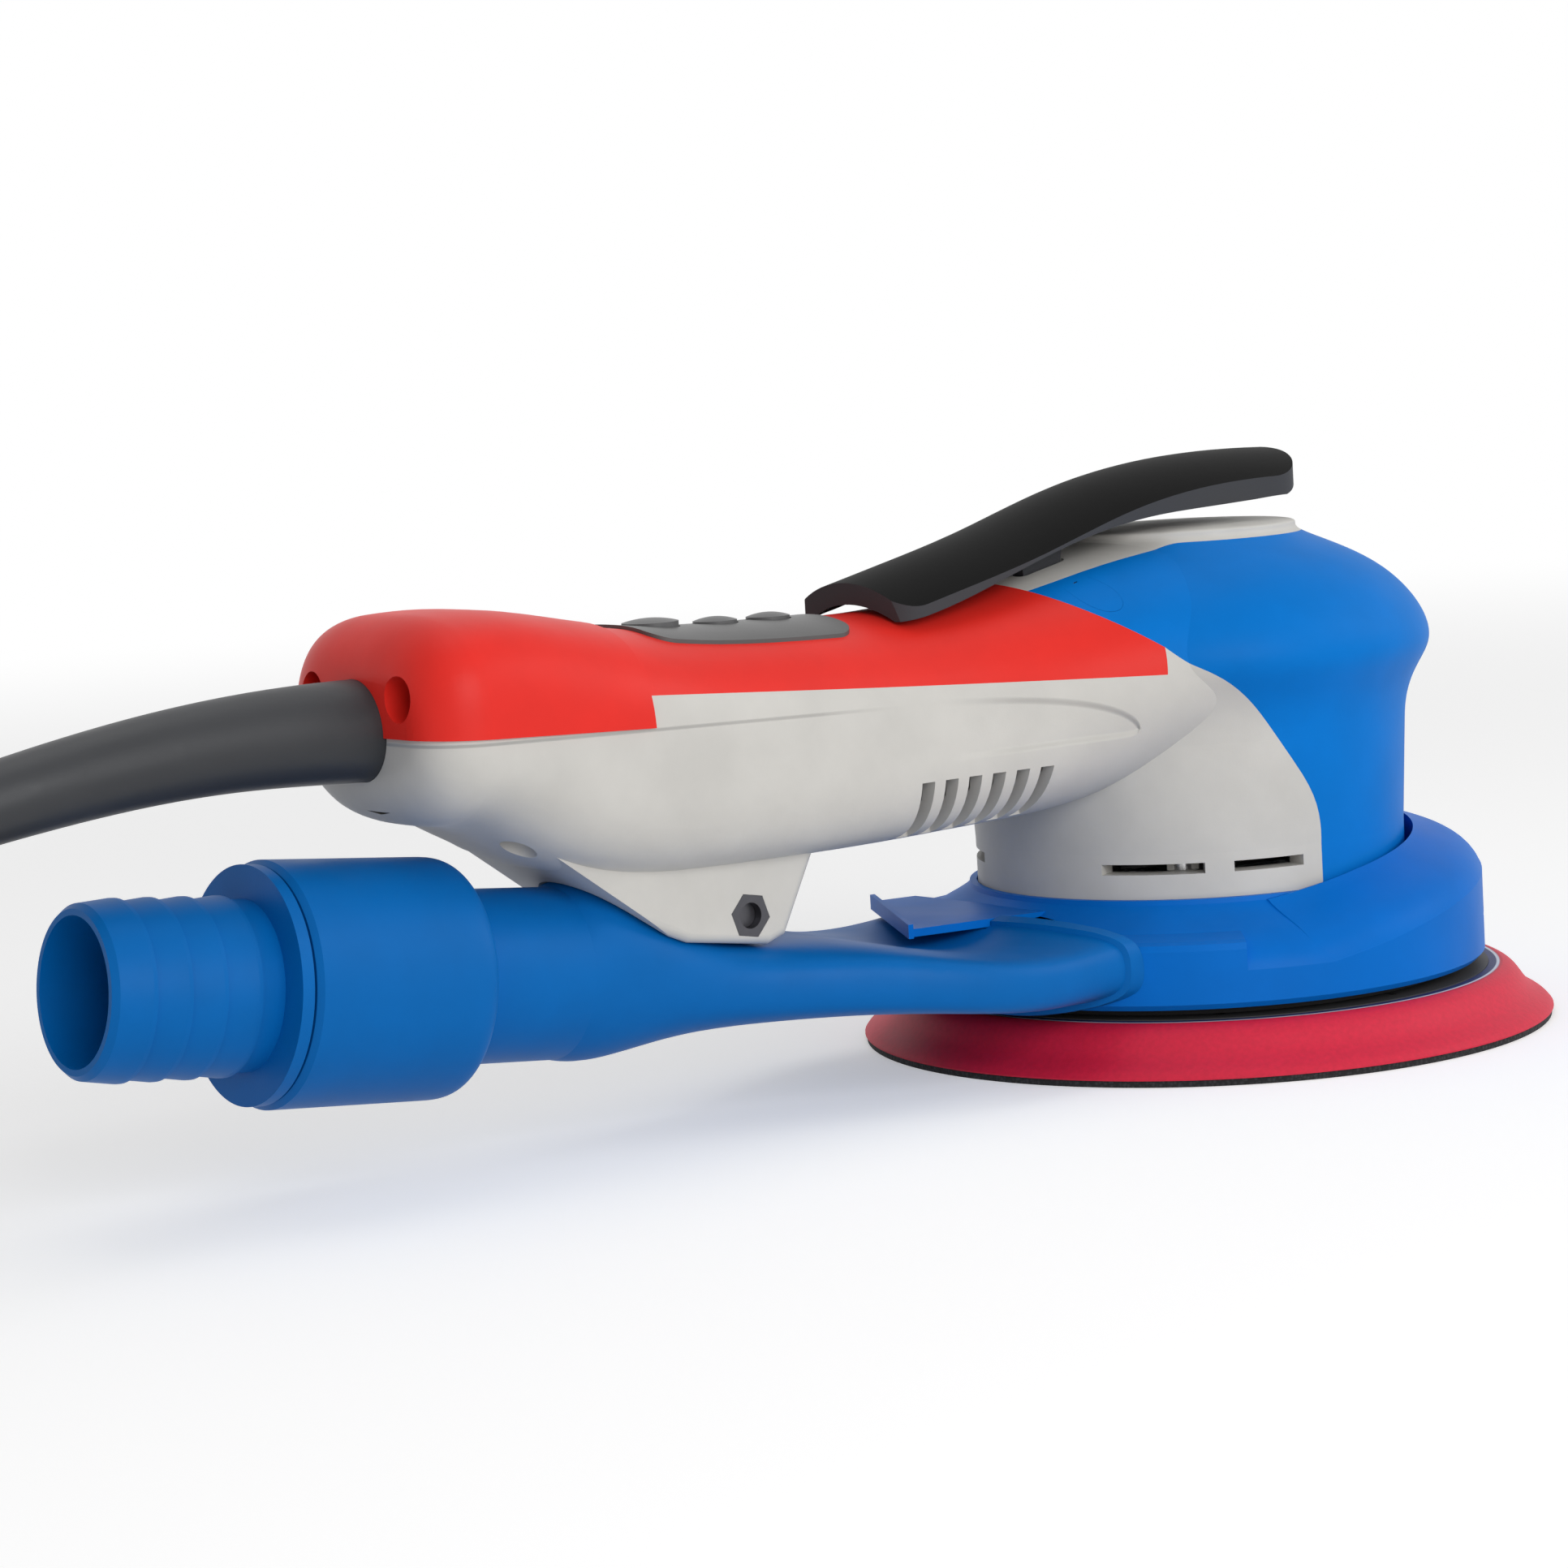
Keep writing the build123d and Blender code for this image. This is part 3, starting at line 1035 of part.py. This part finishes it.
def cord_tube(label, route):
    """Cord along straight runs joined by tangent arcs."""
    points = [Vector(*point) for point in route]
    runs = [b - a for a, b in zip(points, points[1:])]
    radii = []
    for before, after in zip(runs, runs[1:]):
        half_turn = math.radians(before.get_angle(after)) / 2
        radii.append(0.45 * min(before.length, after.length) / math.tan(half_turn))
    print(label, "bend radii", [round(radius, 1) for radius in radii])
    path = FilletPolyline(*points, radius=radii)
    tube = sweep(Plane(origin=path @ 0, z_dir=path % 0) * Circle(cord_radius), path=path)
    expected = math.pi * cord_radius ** 2 * path.length
    print(label, "length", round(path.length, 1), "volume ratio", round(tube.volume / expected, 4))
    return tube


cords = [cord_tube("lead", lead_route) - coil - boot, cord_tube("tail", tail_route) - coil]
add("power_cord", Compound(children=[cord.solids()[0] for cord in cords]))
plug_x, plug_y, plug_z = plug_rear
plug_half_width = 17.6
plug_length = 38.0
plug_sections = []
for along, half, high in ((0, 6.0, 6.0), (9, 8.0, 8.0), (20, 13.0, 12.0), (30, plug_half_width, plug_z),
                          (plug_length, plug_half_width, plug_z)):
    plane = Plane(origin=(plug_x + along, plug_y, plug_z), x_dir=(0, 1, 0), z_dir=(1, 0, 0))
    plug_sections.append(plane * Ellipse(half, high))
add("plug_body", loft(plug_sections))
pin_spacing = 9.5
pins = [rod_x(2.4, plug_x + plug_length, plug_x + plug_length + 17, plug_y + y, plug_z)
        + Pos(plug_x + plug_length + 17, plug_y + y, plug_z) * Sphere(2.4)
        for y in (-pin_spacing, pin_spacing)]
add("plug_pins", Compound(children=[pin.solids()[0] for pin in pins]))

for name, shape in parts.items():
    export_step(shape, f"parts/{name}.step")
print(len(parts), "nodes")
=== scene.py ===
"""Looks of the orbital sander: materials, power cord, light and camera."""
import json
import math

import bpy
from mathutils import Matrix, Vector


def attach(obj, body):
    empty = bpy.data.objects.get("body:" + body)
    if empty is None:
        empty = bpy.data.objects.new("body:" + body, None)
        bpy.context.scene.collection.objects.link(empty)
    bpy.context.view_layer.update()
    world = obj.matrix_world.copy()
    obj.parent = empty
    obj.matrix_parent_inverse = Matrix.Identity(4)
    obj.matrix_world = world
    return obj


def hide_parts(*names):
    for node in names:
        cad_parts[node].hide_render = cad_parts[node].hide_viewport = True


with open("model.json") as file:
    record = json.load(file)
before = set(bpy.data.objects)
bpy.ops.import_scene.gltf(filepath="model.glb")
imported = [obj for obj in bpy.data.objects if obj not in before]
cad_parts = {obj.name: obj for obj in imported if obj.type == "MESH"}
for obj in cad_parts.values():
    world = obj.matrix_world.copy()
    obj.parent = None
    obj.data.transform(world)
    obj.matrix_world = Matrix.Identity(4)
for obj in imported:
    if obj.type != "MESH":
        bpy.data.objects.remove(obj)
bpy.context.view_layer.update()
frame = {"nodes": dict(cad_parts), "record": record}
nodes = frame["nodes"]
MM = 0.001              # a millimetre in metres

# ---------------------------------------------------------------- camera and light
CAMERA_PLACE = (-0.5520, -0.5972, 0.1491)
CAMERA_AZIMUTH = 36.57  # degrees from +Y towards +X
CAMERA_PITCH = 6.44     # degrees below level
CAMERA_ROLL = 3.48      # degrees
SENSOR_WIDTH = 36.0     # mm
FOCAL_LENGTH = 85.78    # mm

WHITE = (1.0, 1.0, 1.0, 1.0)
WORLD_LIGHT = 0.36      # the backdrop's strength as light on the object
BACKDROP_WHITE = 1.0    # its strength as the camera and reflections see it
FLOOR_COLOUR = (0.85, 0.85, 0.85, 1.0)
FLOOR_GLOW = 0.35       # added to the floor where the camera or a reflection looks at it
FLOOR_REACH = 30.0
FADE_START = 0.35       # distance from the origin where the floor starts to turn into backdrop
FADE_END = 1.6

# name, place, target, width and height, watts
LAMPS = [
    ("front", (-0.35, -1.25, 0.5), (-0.08, 0, 0.06), (1.0, 0.7), 9.0),
    ("right", (0.95, -0.75, 0.7), (0.0, 0, 0.06), (0.7, 0.7), 3.6),
    ("top", (-0.1, 0.15, 1.4), (-0.05, 0, 0.06), (1.1, 0.8), 2.4),
]


def camera():
    """Camera at the photograph's viewing angle, with the slight roll it was held at."""
    azimuth, pitch, roll = (math.radians(angle) for angle in (CAMERA_AZIMUTH, CAMERA_PITCH, CAMERA_ROLL))
    forward = Vector((math.sin(azimuth) * math.cos(pitch), math.cos(azimuth) * math.cos(pitch),
                      -math.sin(pitch)))
    level = Vector((math.cos(azimuth), -math.sin(azimuth), 0.0))
    down = forward.cross(level)
    right = level * math.cos(roll) + down * math.sin(roll)
    up = level * math.sin(roll) - down * math.cos(roll)
    data = bpy.data.cameras.new("camera")
    data.sensor_width = SENSOR_WIDTH
    data.lens = FOCAL_LENGTH
    data.clip_start = 0.02
    data.clip_end = 50.0
    cam = bpy.data.objects.new("camera", data)
    bpy.context.scene.collection.objects.link(cam)
    turn = Matrix((right, up, -forward)).transposed().to_4x4()
    turn.translation = Vector(CAMERA_PLACE)
    cam.matrix_world = turn
    bpy.context.scene.camera = cam


def area_light(name, place, target, size, power):
    """Soft rectangular lamp turned to its target."""
    data = bpy.data.lights.new(name, "AREA")
    data.shape = "RECTANGLE"
    data.size, data.size_y = size
    data.energy = power
    lamp = bpy.data.objects.new(name, data)
    bpy.context.scene.collection.objects.link(lamp)
    place, target = Vector(place), Vector(target)
    turn = (target - place).to_track_quat("-Z", "Y").to_matrix().to_4x4()
    turn.translation = place
    lamp.matrix_world = turn


def fade(tree, value, from_low, from_high, to_low, to_high):
    """Smooth change between two levels."""
    made = tree.nodes.new("ShaderNodeMapRange")
    made.interpolation_type = "SMOOTHSTEP"
    for key, number in (("From Min", from_low), ("From Max", from_high), ("To Min", to_low),
                        ("To Max", to_high)):
        made.inputs[key].default_value = number
    tree.links.new(value, made.inputs["Value"])
    return made.outputs["Result"]


def in_sight(tree, unseen, seen):
    """Level for light that falls on the object, and another for what the camera or a reflection sees."""
    path = tree.nodes.new("ShaderNodeLightPath")
    total = path.outputs["Is Camera Ray"]
    for kind in ("Is Glossy Ray", "Is Transmission Ray"):
        either = tree.nodes.new("ShaderNodeMath")
        either.operation = "MAXIMUM"
        tree.links.new(total, either.inputs[0])
        tree.links.new(path.outputs[kind], either.inputs[1])
        total = either.outputs["Value"]
    return fade(tree, total, 0.0, 1.0, unseen, seen)


def sky():
    """White backdrop that lights the object at a plain level."""
    world = bpy.data.worlds.new("studio")
    bpy.context.scene.world = world
    world.use_nodes = True
    tree = world.node_tree
    backdrop = tree.nodes["Background"]
    tree.links.new(in_sight(tree, WORLD_LIGHT, BACKDROP_WHITE), backdrop.inputs["Strength"])
    backdrop.inputs["Color"].default_value = WHITE


def floor_look():
    """Pale floor that turns into the backdrop with distance."""
    mat = bpy.data.materials.new("floor_white")
    mat.use_nodes = True
    tree = mat.node_tree
    near = tree.nodes["Principled BSDF"]
    near.inputs["Base Color"].default_value = FLOOR_COLOUR
    near.inputs["Roughness"].default_value = 0.9
    near.inputs["Specular IOR Level"].default_value = 0.1
    near.inputs["Emission Color"].default_value = WHITE
    tree.links.new(in_sight(tree, 0.0, FLOOR_GLOW), near.inputs["Emission Strength"])
    far = tree.nodes.new("ShaderNodeEmission")
    tree.links.new(in_sight(tree, WORLD_LIGHT, BACKDROP_WHITE), far.inputs["Strength"])
    distance = tree.nodes.new("ShaderNodeVectorMath")
    distance.operation = "LENGTH"
    tree.links.new(tree.nodes.new("ShaderNodeTexCoord").outputs["Object"], distance.inputs[0])
    mix = tree.nodes.new("ShaderNodeMixShader")
    tree.links.new(fade(tree, distance.outputs["Value"], FADE_START, FADE_END, 0.0, 1.0), mix.inputs["Fac"])
    tree.links.new(near.outputs["BSDF"], mix.inputs[1])
    tree.links.new(far.outputs["Emission"], mix.inputs[2])
    tree.links.new(mix.outputs["Shader"], tree.nodes["Material Output"].inputs["Surface"])
    return mat


def ground():
    """Plain floor that keeps the object's shadow."""
    mesh = bpy.data.meshes.new("floor")
    corners = [(-FLOOR_REACH, -FLOOR_REACH, 0), (FLOOR_REACH, -FLOOR_REACH, 0),
               (FLOOR_REACH, FLOOR_REACH, 0), (-FLOOR_REACH, FLOOR_REACH, 0)]
    mesh.from_pydata(corners, [], [(0, 1, 2, 3)])
    mesh.materials.append(floor_look())
    floor = bpy.data.objects.new("floor", mesh)
    bpy.context.scene.collection.objects.link(floor)


def studio():
    """White backdrop, pale floor, a broad soft lamp on the camera's side and weaker ones round it."""
    bpy.context.scene.view_settings.view_transform = "Standard"
    sky()
    ground()
    for lamp in LAMPS:
        area_light(*lamp)


camera()
studio()

# ---------------------------------------------------------------- materials
# sockets of a Mix node set to colours, which share their names
MIX_FACTOR, MIX_FIRST, MIX_SECOND = 0, 6, 7
MIX_RESULT = 2


class Shader:
    """Principled material with helpers for the procedural nodes that feed it."""

    def __init__(self, name, shine=None):
        self.mat = bpy.data.materials.new(name)
        self.mat.use_nodes = True
        self.tree = self.mat.node_tree
        self.out = self.tree.nodes["Principled BSDF"]
        self.coords = self.node("ShaderNodeTexCoord").outputs["Object"]
        if shine is not None:
            self.out.inputs["Specular IOR Level"].default_value = shine

    def node(self, kind, **settings):
        made = self.tree.nodes.new(kind)
        for key, value in settings.items():
            setattr(made, key, value)
        return made

    def link(self, source, target):
        self.tree.links.new(source, target)

    def noise(self, scale, detail=3.0, rough=0.55, stretch=(1, 1, 1)):
        mapping = self.node("ShaderNodeMapping")
        mapping.inputs["Scale"].default_value = stretch
        self.link(self.coords, mapping.inputs["Vector"])
        made = self.node("ShaderNodeTexNoise")
        made.inputs["Scale"].default_value = scale
        made.inputs["Detail"].default_value = detail
        made.inputs["Roughness"].default_value = rough
        self.link(mapping.outputs["Vector"], made.inputs["Vector"])
        return made.outputs["Fac"]

    def parts(self, vector):
        """The three numbers of a vector."""
        made = self.node("ShaderNodeSeparateXYZ")
        self.link(vector, made.inputs["Vector"])
        return made.outputs

    def calc(self, operation, *operands):
        made = self.node("ShaderNodeMath", operation=operation)
        for socket, operand in zip(made.inputs, operands):
            if isinstance(operand, (int, float)):
                socket.default_value = operand
            else:
                self.link(operand, socket)
        return made.outputs["Value"]

    def spread(self, value, low, high, from_low=0.3, from_high=0.7, smooth=False):
        """Value between from_low and from_high, spread over low to high and held beyond them."""
        made = self.node("ShaderNodeMapRange")
        made.interpolation_type = "SMOOTHSTEP" if smooth else "LINEAR"
        for key, number in (("From Min", from_low), ("From Max", from_high), ("To Min", low),
                            ("To Max", high)):
            made.inputs[key].default_value = number
        self.link(value, made.inputs["Value"])
        return made.outputs["Result"]

    def blend(self, factor, first, second):
        """Mix of two colours, the first plain or an output, which becomes the base colour."""
        made = self.node("ShaderNodeMix", data_type="RGBA")
        self.link(factor, made.inputs[MIX_FACTOR])
        if isinstance(first, (list, tuple)):
            made.inputs[MIX_FIRST].default_value = (*first, 1.0)
        else:
            self.link(first, made.inputs[MIX_FIRST])
        made.inputs[MIX_SECOND].default_value = (*second, 1.0)
        self.link(made.outputs[MIX_RESULT], self.out.inputs["Base Color"])
        return made.outputs[MIX_RESULT]

    def bump(self, value, strength, depth, over=None):
        made = self.node("ShaderNodeBump")
        if over:
            self.link(over.outputs["Normal"], made.inputs["Normal"])
        made.inputs["Strength"].default_value = strength
        made.inputs["Distance"].default_value = depth
        self.link(value, made.inputs["Height"])
        self.link(made.outputs["Normal"], self.out.inputs["Normal"])
        return made


def shaded(colour, level):
    """Colour at another level of brightness."""
    return [min(1.0, part * level) for part in colour]


def moulded(name, colour, rough, grain=2600.0, relief=0.04 * MM, variation=0.05, shine=0.3, form=None):
    """Moulded plastic or rubber: fine erosion grain, slight tone and gloss variation."""
    made = Shader(name, shine)
    made.blend(made.spread(made.noise(60.0, 4.0), 0.0, 1.0), shaded(colour, 1 - variation),
               shaded(colour, 1 + variation))
    made.link(made.spread(made.noise(35.0, 2.0), rough - 0.04, rough + 0.05), made.out.inputs["Roughness"])
    made.bump(made.noise(grain, 2.0), 0.35, relief, form(made) if form else None)
    return made.mat


def side_form(made):
    """Moulded relief of the housing's sides: the ledge below the cover and the drop-shaped hollow."""
    ledge_x, ledge_z, ledge_slope = -0.1576, 0.0826, -0.0333
    ledge_height, ledge_blur = 0.55, 0.45 * MM
    hollow_front, hollow_z = -0.0448, 0.0708
    hollow_rise, rise_reach = 5.2 * MM, 12 * MM
    hollow_growth, hollow_slowing = 1.6 * MM, 25.0
    hollow_depth = 0.8

    x, _, z = made.parts(made.coords)
    line = made.calc("MULTIPLY_ADD", made.calc("SUBTRACT", x, ledge_x), ledge_slope, ledge_z)
    step = made.spread(made.calc("SUBTRACT", z, line), 0.0, 1.0, -ledge_blur, ledge_blur, True)
    ledge = made.calc("MULTIPLY", step, made.spread(x, ledge_height, 0.0, -0.125, -0.096, True))

    behind = made.calc("SUBTRACT", hollow_front, x)
    back = made.calc("MAXIMUM", behind, 0.0)
    ahead = made.calc("MINIMUM", behind, 0.0)
    middle = made.calc("MULTIPLY_ADD", made.calc("DIVIDE", back, made.calc("ADD", back, rise_reach)),
                       hollow_rise, hollow_z)
    half = made.calc("SQRT", made.calc("DIVIDE", made.calc("MULTIPLY", back, hollow_growth),
                                       made.calc("MULTIPLY_ADD", back, hollow_slowing, 1.0)))
    across = made.calc("SUBTRACT", z, middle)
    reach = made.calc("SQRT", made.calc("ADD", made.calc("MULTIPLY", across, across),
                                        made.calc("MULTIPLY", ahead, ahead)))
    inside = made.spread(made.calc("SUBTRACT", reach, half), hollow_depth, 0.0, -1.1 * MM, 0.6 * MM, True)
    hollow = made.calc("MULTIPLY", inside, made.spread(x, 0.0, 1.0, -0.094, -0.068, True))
    return made.bump(made.calc("SUBTRACT", ledge, hollow), 1.0, MM)


def lever_film(name, film, side):
    """Black film on the lever's top; its edges and underside are painted a lighter grey, which is painted
    side light.
    """
    made = Shader(name, 0.045)
    upward = made.parts(made.node("ShaderNodeNewGeometry").outputs["Normal"])["Z"]
    # faces turned away from upward get the lighter grey: painted side light, not a different moulding
    made.blend(made.spread(upward, 0.0, 1.0, 0.45, 0.62, True), side, film)
    made.out.inputs["Roughness"].default_value = 0.55
    made.bump(made.noise(2400.0, 2.0), 0.3, 0.04 * MM)
    return made.mat


def foam(name, colour):
    """Skinned polyurethane foam with small pores and a plain printed ring on its flat top."""
    orbit = 2.5 * MM
    top_low, top_high = 11.05 * MM, 11.15 * MM
    ring_radius, ring_blur = 63.7 * MM, 0.3 * MM
    border_radius, border_blur = 63.1 * MM, 0.2 * MM
    navy, pale = (0.02, 0.03, 0.12), (0.75, 0.77, 0.82)

    made = Shader(name, 0.35)
    pores = made.blend(made.spread(made.noise(900.0, 4.0), 0.0, 1.0), shaded(colour, 0.86), colour)
    x, y, z = made.parts(made.coords)
    x = made.calc("SUBTRACT", x, orbit)
    radius = made.calc("SQRT", made.calc("ADD", made.calc("MULTIPLY", x, x), made.calc("MULTIPLY", y, y)))
    inked = made.calc("MULTIPLY", made.spread(z, 0.0, 1.0, top_low, top_high),
                      made.spread(radius, 1.0, 0.0, ring_radius, ring_radius + ring_blur))
    ring = made.blend(inked, pores, navy)
    border = made.spread(radius, 0.0, 1.0, border_radius, border_radius + border_blur)
    made.blend(made.calc("MULTIPLY", inked, border), ring, pale)
    made.out.inputs["Roughness"].default_value = 0.55
    made.bump(made.noise(1800.0, 4.0, 0.7), 0.5, 0.08 * MM)
    return made.mat


def hook_pile(name):
    """Dark hook layer of the pad: a dense pile of tiny hooks."""
    made = Shader(name)
    cells = made.node("ShaderNodeTexVoronoi")
    cells.inputs["Scale"].default_value = 1300.0
    made.link(made.coords, cells.inputs["Vector"])
    made.blend(made.spread(cells.outputs["Distance"], 0.0, 1.0, 0.1, 0.6), (0.035, 0.035, 0.038),
               (0.008, 0.008, 0.009))
    made.out.inputs["Roughness"].default_value = 0.9
    made.bump(cells.outputs["Distance"], 0.9, 0.2 * MM)
    return made.mat


def metal(name, colour, rough, brushed=(1, 1, 1), scale=900.0):
    """Turned, cast or plated metal with fine tool marks."""
    made = Shader(name)
    made.blend(made.noise(scale, 4.0, 0.6, brushed), shaded(colour, 0.88), colour)
    made.out.inputs["Metallic"].default_value = 1.0
    made.link(made.spread(made.noise(scale, 3.0, 0.6, brushed), rough - 0.06, rough + 0.08),
              made.out.inputs["Roughness"])
    made.bump(made.noise(scale, 2.0, 0.5, brushed), 0.25, 0.02 * MM)
    return made.mat


LOOKS = {
    "housing_grey": moulded("housing_grey", (0.60, 0.585, 0.55), 0.5, form=side_form),
    "cover_red": moulded("cover_red", (0.78, 0.026, 0.018), 0.42, shine=0.2),
    "grip_blue": moulded("grip_blue", (0.0, 0.175, 0.60), 0.5, 1800.0, 0.05 * MM, shine=0.08),
    "shroud_blue": moulded("shroud_blue", (0.0, 0.15, 0.58), 0.45, shine=0.09),
    "duct_blue": moulded("duct_blue", (0.0, 0.13, 0.44), 0.45, shine=0.12),
    # the second colour is the lever's edges and underside, painted lighter as painted side light
    "lever_black": lever_film("lever_black", (0.007, 0.007, 0.007), (0.06, 0.062, 0.068)),
    "keypad_charcoal": moulded("keypad_charcoal", (0.085, 0.085, 0.085), 0.4, shine=0.4),
    "button_grey": moulded("button_grey", (0.11, 0.11, 0.112), 0.4, shine=0.4),
    "pad_red": foam("pad_red", (0.68, 0.012, 0.048)),
    "hook_black": hook_pile("hook_black"),
    "plate_dark": moulded("plate_dark", (0.05, 0.05, 0.052), 0.55),
    "inner_plastic": moulded("inner_plastic", (0.06, 0.06, 0.06), 0.55),
    "steel": metal("steel", (0.62, 0.62, 0.63), 0.28),
    "dark_steel": metal("dark_steel", (0.10, 0.10, 0.11), 0.38),
    "alu": metal("alu", (0.80, 0.80, 0.81), 0.42),
    "copper": metal("copper", (0.78, 0.36, 0.16), 0.35, (1, 1, 14), 400.0),
    "magnet": metal("magnet", (0.30, 0.30, 0.31), 0.35),
    "board_green": moulded("board_green", (0.015, 0.16, 0.06), 0.35),
    "cord_black": moulded("cord_black", (0.034, 0.036, 0.040), 0.45, 1200.0, shine=0.35),
    "seal_black": moulded("seal_black", (0.02, 0.02, 0.02), 0.75),
    "brass": metal("brass", (0.80, 0.60, 0.26), 0.25),
}
for part in frame["record"]["subparts"]:
    piece = nodes[part["node"]]
    piece.data.materials.clear()
    piece.data.materials.append(LOOKS[part["material_slot"]])

# ---------------------------------------------------------------- cord, its places in millimetres
CORD_RADIUS = 4.0
COIL_CENTRE = (-452.0, 74.0)
COIL_MIDDLE = 44.0                      # radius in the middle of the turns
ACROSS, UPWARD = 8.2, 8.1               # from turn to turn, and from layer to layer
COLUMNS, LAYERS = 4, 4
COIL_LOW = 4.2
OUTER_TURN = COIL_MIDDLE + (COLUMNS - 1) / 2 * ACROSS
TOP_TURN = COIL_LOW + (LAYERS - 1) * UPWARD
LAST_TURN = 14.5
SHIFT_FIRST = (0.8, 4.4, 7.8, 11.4)     # turn count at each layer's first step across
DROPS = (3.6, 7.2, 10.6)                # turn count at each step down
STEP_LENGTH = 0.15
POINTS_PER_TURN = 16
PLUG_REAR = (-345.0, COIL_CENTRE[1] + 37.0, 13.0)


def done(turn, start):
    """How much of a step that begins at this turn count is behind."""
    return min(max((turn - start) / STEP_LENGTH, 0.0), 1.0)


def coil_point(turn):
    """Point of the coil after so many turns, from its outermost turn on top inwards and down."""
    radius = OUTER_TURN
    for layer, first in enumerate(SHIFT_FIRST):
        inward = -1.0 if layer % 2 == 0 else 1.0
        for column in range(COLUMNS - 1):
            radius += inward * ACROSS * done(turn, first + column)
    height = TOP_TURN - UPWARD * sum(done(turn, start) for start in DROPS)
    angle = -math.pi / 2 - 2 * math.pi * turn
    return (COIL_CENTRE[0] + radius * math.cos(angle), COIL_CENTRE[1] + radius * math.sin(angle), height)


def power_cord():
    """Lead from the strain relief down to the floor, the neat coil and the short tail to the plug."""
    near, far = COIL_CENTRE[1] - OUTER_TURN, COIL_CENTRE[1] + OUTER_TURN
    route = [(-314.5, 3.6, 73.4), (-329.0, 8.4, 71.0), (-360.0, 39.0, 58.0), (-402.0, near, 33.0)]
    steps = int(LAST_TURN * POINTS_PER_TURN)
    route += [coil_point(step / POINTS_PER_TURN) for step in range(steps + 1)]
    route += [(-417.0, far, COIL_LOW), (-381.0, *PLUG_REAR[1:]), PLUG_REAR]
    curve = bpy.data.curves.new("mains_cord", "CURVE")
    curve.dimensions = "3D"
    curve.bevel_depth = CORD_RADIUS * MM
    curve.bevel_resolution = 6
    curve.resolution_u = 4
    line = curve.splines.new("NURBS")
    line.points.add(len(route) - 1)
    for point, place in zip(line.points, route):
        point.co = (*(number * MM for number in place), 1.0)
    line.order_u = 3
    line.use_endpoint_u = True
    curve.materials.append(LOOKS["cord_black"])
    cord = bpy.data.objects.new("mains_cord", curve)
    bpy.context.scene.collection.objects.link(cord)
    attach(cord, "body")
    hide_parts("power_cord", "cord_coil")


power_cord()
